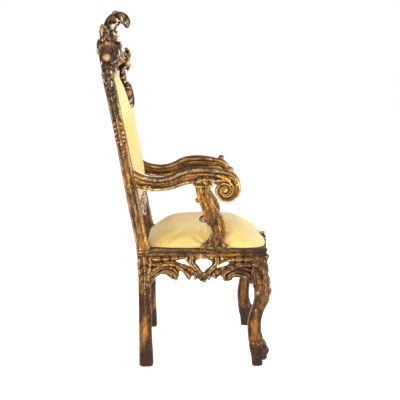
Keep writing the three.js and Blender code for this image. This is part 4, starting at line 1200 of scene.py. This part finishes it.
def profile_up(points):
    """For each point of a line (w, v), the direction to its left, which is its outside."""
    along = np.gradient(np.asarray(points, float), axis=0)
    along /= np.linalg.norm(along, axis=1, keepdims=True)
    w, v = -along[:, 1], along[:, 0]
    ahead, high = w * math.cos(rake) - v * math.sin(rake), w * math.sin(rake) + v * math.cos(rake)
    return np.stack([0 * w, -ahead, high], 1)


def profile_leaf(points, x, half, thick, lobes, count):
    """A leaf that stands on the back's side view, in a plane of that x."""
    points = spline(points, count)
    return acanthus(on_profile(points, x), profile_up(points), half, thick, lobes, root=9)


crest_shells = [slab(crest_board, on_back, -38, 0)]
finial = spline([(-6, 768), (-12, 800), (-12, 830), (-2, 858), (18, 880), (44, 888), (66, 880), (76, 864),
                 (74, 846), (62, 842)], 24)
crest_shells.append(acanthus(on_profile(finial), profile_up(finial), 60, 16, 5,
                             root=9, droop=0.5, start=0.22))
small = [
    ((20, 884), (32, 900), (44, 905)), ((0, 800), (14, 816), (34, 826)),
    ((-14, 812), (-26, 838), (-24, 866)), ((14, 708), (27, 728), (28, 752)),
    ((0, 696), (20, 710), (33, 736)),
]
for line, x, half in zip(small, (0, 26, 20, 120, 60), (22, 20, 22, 22, 24)):
    for way in ((-1, 1) if x else (1,)):
        crest_shells.append(profile_leaf(line, way * x, half, 9, 3, 12))

for way in (-1, 1):
    for points, half, thick, lobes, lift in (
        ([(226, 762), (190, 786), (140, 790), (104, 812), (96, 852)], 18, 17, 5, -12),
        ([(70, 790), (104, 812), (120, 846)], 15, 12, 3, -22),
        ([(236, 676), (200, 700), (150, 708), (110, 690), (92, 650)], 17, 14, 5, 2),
        ([(60, 700), (84, 730), (92, 764)], 14, 12, 3, 0),
        ([(240, 740), (206, 732), (176, 744), (160, 768)], 13, 13, 3, 0),
        ([(40, 760), (46, 800), (30, 836)], 14, 12, 3, 0),
        ([(262, 690), (268, 668), (264, 640)], 13, 9, 2, 2),
    ):
        crest_shells.append(back_leaf([(way * x, v) for x, v in points], half, thick, lobes, lift))
    for centre, radius, shrink, start, end in (
        ((170, 745), 40, 0.22, -0.2 * np.pi, 1.9 * np.pi),
        ((62, 742), 34, 0.2, 1.4 * np.pi, -0.5 * np.pi),
    ):
        coil = spiral(centre, radius, shrink, start, end, 60) * (way, 1)
        crest_shells.append(scroll(on_back(coil[:, 0], coil[:, 1], 2), forward, 9, 13, 0.45))
        crest_shells.append(bead(on_back(way * centre[0], centre[1], 6), 9))
    # the arched fillet beside the panel
    rim = arch_line[:46] * (way, 1)
    half_round = np.array([(-5, -4), (-4, 4), (0, 6), (4, 4), (5, -4)])
    crest_shells.append(moulding(on_back(rim[:, 0], rim[:, 1] + 5, 2), forward, half_round))

# the corner volute, a coil seen from the chair's side, with the ball in its eye
volute_x = 302
coil = spiral((0, 733), 45, 0.05, -0.5 * np.pi, 1.5 * np.pi, 60)[:-1]
coil_board = slab(coil, lambda w, v, x: on_back(-x, v, w), volute_x - 58, volute_x - 4)
ridge = spiral((0, 733), 40, 0.14, 1.0 * np.pi, -1.7 * np.pi, 70)
corner_carving = [
    coil_board,
    scroll(on_profile(ridge, -(volute_x - 4)), right, 8, 4.5, 0.5),
    bead(on_back(-(volute_x - 5), 717, -9), 17),
    profile_leaf([(16, 722), (33, 734), (41, 758), (30, 778)], 30 - volute_x, 20, 9, 3, 10),
    profile_leaf([(-36, 752), (-26, 778), (-6, 786), (14, 778)], 26 - volute_x, 26, 8, 4, 10),
    acanthus(on_profile([(-20, 700), (-20, 676), (-21, 650), (-21, 634)], -(volute_x - 12)), right, 19, 9, 3),
    acanthus(on_profile([(20, 738), (31, 716), (29, 696), (22, 680)], -(volute_x - 20)), right, 12, 12, 3),
]
for points, faces in corner_carving:
    crest_shells += [(points, faces), (points * (-1, 1, 1), faces)]

# the drop over the panel: a tall leaf, a ball, and a lobed leaf that hangs below it
crest_shells += [
    back_leaf([(0, 690), (0, 714), (0, 742)], 26, 22, 3, 26, root=26),
    bead(on_back(0, 699, 42), 15, (1.2, 1, 1)),
    back_leaf([(0, 690), (0, 664), (0, 640), (0, 616)], 26, 9, 3, 20, root=20),
    back_leaf([(0, 624), (0, 596), (0, 560), (0, 536), (0, 520)], 42, 18, 4, 24, root=24, droop=0.1),
    bead(on_back(0, 616, 30), 10, (1.6, 1, 1)),
]
for way in (-1, 1):
    side_lobe = [(way * 14, 600), (way * 36, 592), (way * 50, 570)]
    crest_shells.append(back_leaf(side_lobe, 14, 14, 2, 26, root=14))
crest = fused(crest_shells, voxel=2.9)
crest = relaxed(crest[0], crest[2], 3, 0.5), crest[1], crest[2]


def back_coordinates(points):
    """Each point's x, its v up along the raked back, and its w in front of the posts' face."""
    f, z = leg_y - points[:, 1] - bend_f, points[:, 2] - bend_z
    return points[:, 0], -f * math.sin(rake) + z * math.cos(rake), f * math.cos(rake) + z * math.sin(rake)


def crest_bright(points, normals):
    x, v, w = back_coordinates(points)
    stem = np.exp(-(((points[:, 2] - 1270) / 22) ** 2)) * np.exp(-((x / 40) ** 2))
    balls = (np.hypot(v - 719, w + 6) < 19) & (np.abs(x) > 292)
    drop_bead = (np.hypot(v - 699, w - 42) < 18) & (np.abs(x) < 24)
    ends = np.abs(x) > 286
    behind = np.clip(-(normals @ forward), 0, 1)
    return 0.5 * stem + 0.45 * balls + 0.2 * drop_bead - 0.28 - 0.2 * ends - 0.25 * behind


def crest_bare(points, normals):
    x, v, w = back_coordinates(points)
    z = points[:, 2]
    under = np.clip(normals @ (forward * 0.6 - np.array([0, 0, 0.8])), 0, 1)
    great_leaf = np.clip((w + 4) / 10, 0, 1) * np.clip((58 - w) / 10, 0, 1) * (v > 812) * (v < 866)
    fillet = np.exp(-(((w - 6) / 6) ** 2)) * (np.abs(x) < 245) * (z < 1130) * (z > 1060)
    shown = np.clip(normals @ forward + np.abs(normals[:, 0]) + 0.3, 0, 1)
    return 0.26 * shown + 1.1 * under * great_leaf + 0.6 * fillet


gilded("crest_rail", crest, crest_bright, crest_bare, seed=81)

# Stuffed back panel: a crowned pad under plain cream cloth, tacked in the rebate of its frame, and the
# same cloth stretched flat behind. Its cover is let rise by a cloth simulation.
upholstery = bpy.data.materials.new("Woven cotton upholstery cloth, cream, a little faded")
upholstery.use_nodes = True
tree = upholstery.node_tree
shader = tree.nodes["Principled BSDF"]
place = node(tree, "TexCoord").outputs["Object"]
# fading and handling marks some 120 mm wide, and a slub of 9 mm; the weave's 0.6 mm threads are drawn
# three times as coarse, so that they show
fading = node(tree, "TexNoise", {"Vector": place, "Scale": 8, "Detail": 3, "Roughness": 0.55})
slub = node(tree, "TexNoise", {"Vector": place, "Scale": 110, "Detail": 3, "Roughness": 0.6})
faded = node(tree, "MapRange", {0: fading.outputs[0], 1: 0.35, 2: 0.68, 3: 0, 4: 1})
cream = node(tree, "Mix", {0: faded.outputs[0], 6: linear("#ebc76c"), 7: linear("#f0d68c")},
             data_type="RGBA")
flecked = node(tree, "MapRange", {0: slub.outputs[0], 1: 0.55, 2: 0.75, 3: 0, 4: 0.35})
toned = node(tree, "Mix", {0: flecked.outputs[0], 6: cream.outputs[2], 7: linear("#d9b76c")},
             data_type="RGBA")
tree.links.new(toned.outputs[2], shader.inputs["Base Color"])
shader.inputs["Roughness"].default_value = 0.85
shader.inputs["Sheen Weight"].default_value = 0.25
shader.inputs["Sheen Roughness"].default_value = 0.5
warp = node(tree, "TexWave", {"Vector": place, "Scale": 170, "Distortion": 1.5, "Detail": 1},
            bands_direction="X")
weft = node(tree, "TexWave", {"Vector": place, "Scale": 170, "Distortion": 1.5, "Detail": 1},
            bands_direction="Z")
weave = node(tree, "Math", {0: warp.outputs[1], 1: weft.outputs[1]}, operation="MULTIPLY")
weave = node(tree, "Math", {0: slub.outputs[0], 1: 1.5, 2: weave.outputs[0]}, operation="MULTIPLY_ADD")
bump = node(tree, "Bump", {"Strength": 0.35, "Distance": 0.0008, "Height": weave.outputs[0]})
tree.links.new(bump.outputs[0], shader.inputs["Normal"])


def stuffed(name, shells, voxel, shrink, cap, pressure, held_at, smoothing):
    """A stuffed pad in the shape of the shells, risen by a cloth simulation. Points that held_at gives 1,
    tacked to the frame, stay where they are, and no point moves further than cap."""
    points, faces, edges = fused(shells, voxel)
    made = bpy.data.meshes.new(name)
    made.from_pydata((points / 1000).tolist(), [], faces.tolist())
    normals = np.empty(len(points) * 3, np.float32)
    made.vertices.foreach_get("normal", normals)
    normals = normals.reshape(-1, 3)
    points = relaxed(points, edges, smoothing)
    held = held_at(points)
    start = points - normals * shrink * (1 - held)[:, None]
    made.vertices.foreach_set("co", (start / 1000).astype(np.float32).ravel())
    pad = bpy.data.objects.new(name + "_pad", made)
    bpy.context.scene.collection.objects.link(pad)
    group = pad.vertex_groups.new(name="tacked")
    for i in np.nonzero(held > 0.02)[0].tolist():
        group.add([i], float(held[i]), "REPLACE")
    risen = start
    cloth = pad.modifiers.new("cover", "CLOTH")
    cloth.settings.use_pressure = True
    cloth.settings.uniform_pressure_force = pressure
    cloth.settings.effector_weights.gravity = 0
    cloth.settings.vertex_group_mass = "tacked"
    cloth.settings.quality = 5
    cloth.settings.tension_stiffness = 40
    cloth.settings.compression_stiffness = 40
    for moment in range(1, 21):
        bpy.context.scene.frame_set(moment)
    grown = pad.evaluated_get(bpy.context.evaluated_depsgraph_get()).data
    co = np.empty(len(points) * 3, np.float32)
    grown.vertices.foreach_get("co", co)
    moved = 1000 * co.reshape(-1, 3) - start
    far = np.linalg.norm(moved, axis=1, keepdims=True)
    risen = start + moved * np.minimum(1, cap / (far + 1e-9))
    pad.modifiers.remove(cloth)
    bpy.context.scene.frame_set(1)
    return pad, risen, normals, edges


def covered(pad, node_name, points):
    """The finished pad: its shape, cloth and place in the frame."""
    pad.data.vertices.foreach_set("co", (points / 1000).astype(np.float32).ravel())
    pad.data.polygons.foreach_set("use_smooth", np.ones(len(pad.data.polygons), bool))
    pad.data.materials.append(upholstery)
    pad.data.update()
    pad.vertex_groups.clear()
    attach(pad, "root")
    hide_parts(node_name)


def panel_surface():
    """A skin of rings across the panel, under the frame's arch: its crowned face and its flat back."""
    half, bottom, crown_high = 239, 173, 27
    across = np.linspace(-1, 1, 60)
    top_at = np.interp(np.abs(across) * half, arch_line[::-1, 0], arch_line[::-1, 1]) - 1
    rings = []
    for s, top in zip(across, top_at):
        v = np.linspace(bottom, top, 44)
        crown = (1 - abs(s) ** 3.2) * (1 - np.abs(2 * (v - bottom) / (672 - bottom) - 1) ** 5)
        w = crown_high * np.clip(crown, 0, 1)
        rings.append(on_back(s * half, np.concatenate([v, v[::-1]]), np.concatenate([w, 0 * v - 25])))
    return closed_skin(rings)


def panel_held(points):
    """How far each point is tacked down: all round the panel's edge and over its flat back."""
    x, v, w = back_coordinates(points)
    top = np.interp(np.abs(x), arch_line[::-1, 0], arch_line[::-1, 1])
    edge = np.minimum(np.minimum(238 - np.abs(x), v - 173), top - v)
    return np.clip(1 - (edge - 3) / 8, 0, 1) * (w > -6) + np.clip((-6 - w) / 4, 0, 1)


pad, risen, normals, edges = stuffed("back_panel", [panel_surface()], voxel=5, shrink=4, cap=8, pressure=4,
                                     held_at=panel_held, smoothing=6)
covered(pad, "back_panel", relaxed(risen, edges, 3))

# Seat: a stuffed loose frame that rests on ledges inside the rails, under the same cream cloth. It is
# domed high and swells over the rails, and it is cut round the posts, corner blocks and arm supports.
seat_stations = [
    # height, how far it swells over the rails, and the share of its length and width
    (430.3, 0, 1, 1), (444, 0, 1, 1), (446, 0.9, 1, 1), (458, 1.1, 1, 1), (470, 1.15, 1, 1),
    (482, 1.1, 0.985, 1), (493, 1, 0.965, 0.99), (504, 0.9, 0.93, 0.975), (512, 0.65, 0.88, 0.94),
    (519, 0.4, 0.8, 0.87), (525, 0.2, 0.68, 0.74), (529, 0, 0.52, 0.58), (531, 0, 0.3, 0.34),
]
seat_rings = []
for z, swell, long, wide in seat_stations:
    near, far = 14 - swell * 10, 418 + swell * 38
    middle = (near + far) / 2
    turn = np.linspace(0, 2 * np.pi, 120, endpoint=False)
    power = 0.3 + 0.24 * np.clip((z - 482) / 50, 0, 1)
    c, s = np.cos(turn), np.sin(turn)
    f = middle + (far - near) / 2 * long * np.sign(s) * np.abs(s) ** power
    half = 246 + spread * f + swell * 31
    x = half * wide * np.sign(c) * np.abs(c) ** power
    bow = 13 * np.clip((f - middle) / (far - middle), 0, None)
    seat_rings.append(on_chair(x, f + bow * (1 - (x / half) ** 2), z))


def seat_held(points):
    """How far each point is tacked down: below the rails' top, inside the frame."""
    return np.clip((464 - points[:, 2]) / 4, 0, 1)


pad, risen, normals, edges = stuffed("seat_cushion", [closed_skin(seat_rings)], voxel=5.5, shrink=5, cap=12,
                                     pressure=4, held_at=seat_held, smoothing=2)
risen = relaxed(risen, edges, 2)


def kept_off(points):
    """Draws the seat back from the posts and the feet of the arm supports, and sets it on its rails."""
    x, f, z = np.abs(points[:, 0]), leg_y - points[:, 1], points[:, 2]
    post_room = np.interp(z, [440, 486, 560], [24, 12, -2])
    f = np.where((x > 236) & (f < post_room), post_room, f)
    near_foot = np.exp(-(((f - 258) / 46) ** 4)) * (z > 462)
    x = np.minimum(x, 250 + spread * f + (1 - near_foot) * 41)
    shell_room = 450 + 18 * (1 - (x / 245) ** 2) + 20 * (1 - np.exp(-((x / 60) ** 4)))
    f = np.where(z < 508, np.minimum(f, shell_room), f)
    on_rails = (x > 247 + spread * f) | (f > 410) | (f < 10)
    z = np.where(on_rails, np.maximum(z, rail_top + 0.3), z)
    return np.stack([np.sign(points[:, 0]) * x, leg_y - f, z], 1)


def puckers(points):
    """Small folds in the cloth that run out from each support's foot, where it is drawn in."""
    f, z = leg_y - points[:, 1] - 258, points[:, 2] - 462
    far = np.hypot(f, z)
    turn = np.arctan2(z, f)
    deep = 2.4 * np.exp(-(((far - 62) / 26) ** 2))
    return deep * np.cos(17 * turn + 0.03 * far) * (np.abs(points[:, 0]) > 200)


risen = kept_off(risen)
risen = relaxed(risen, edges, 2) + normals * puckers(risen)[:, None]
risen = kept_off(risen)
covered(pad, "seat_cushion", risen)
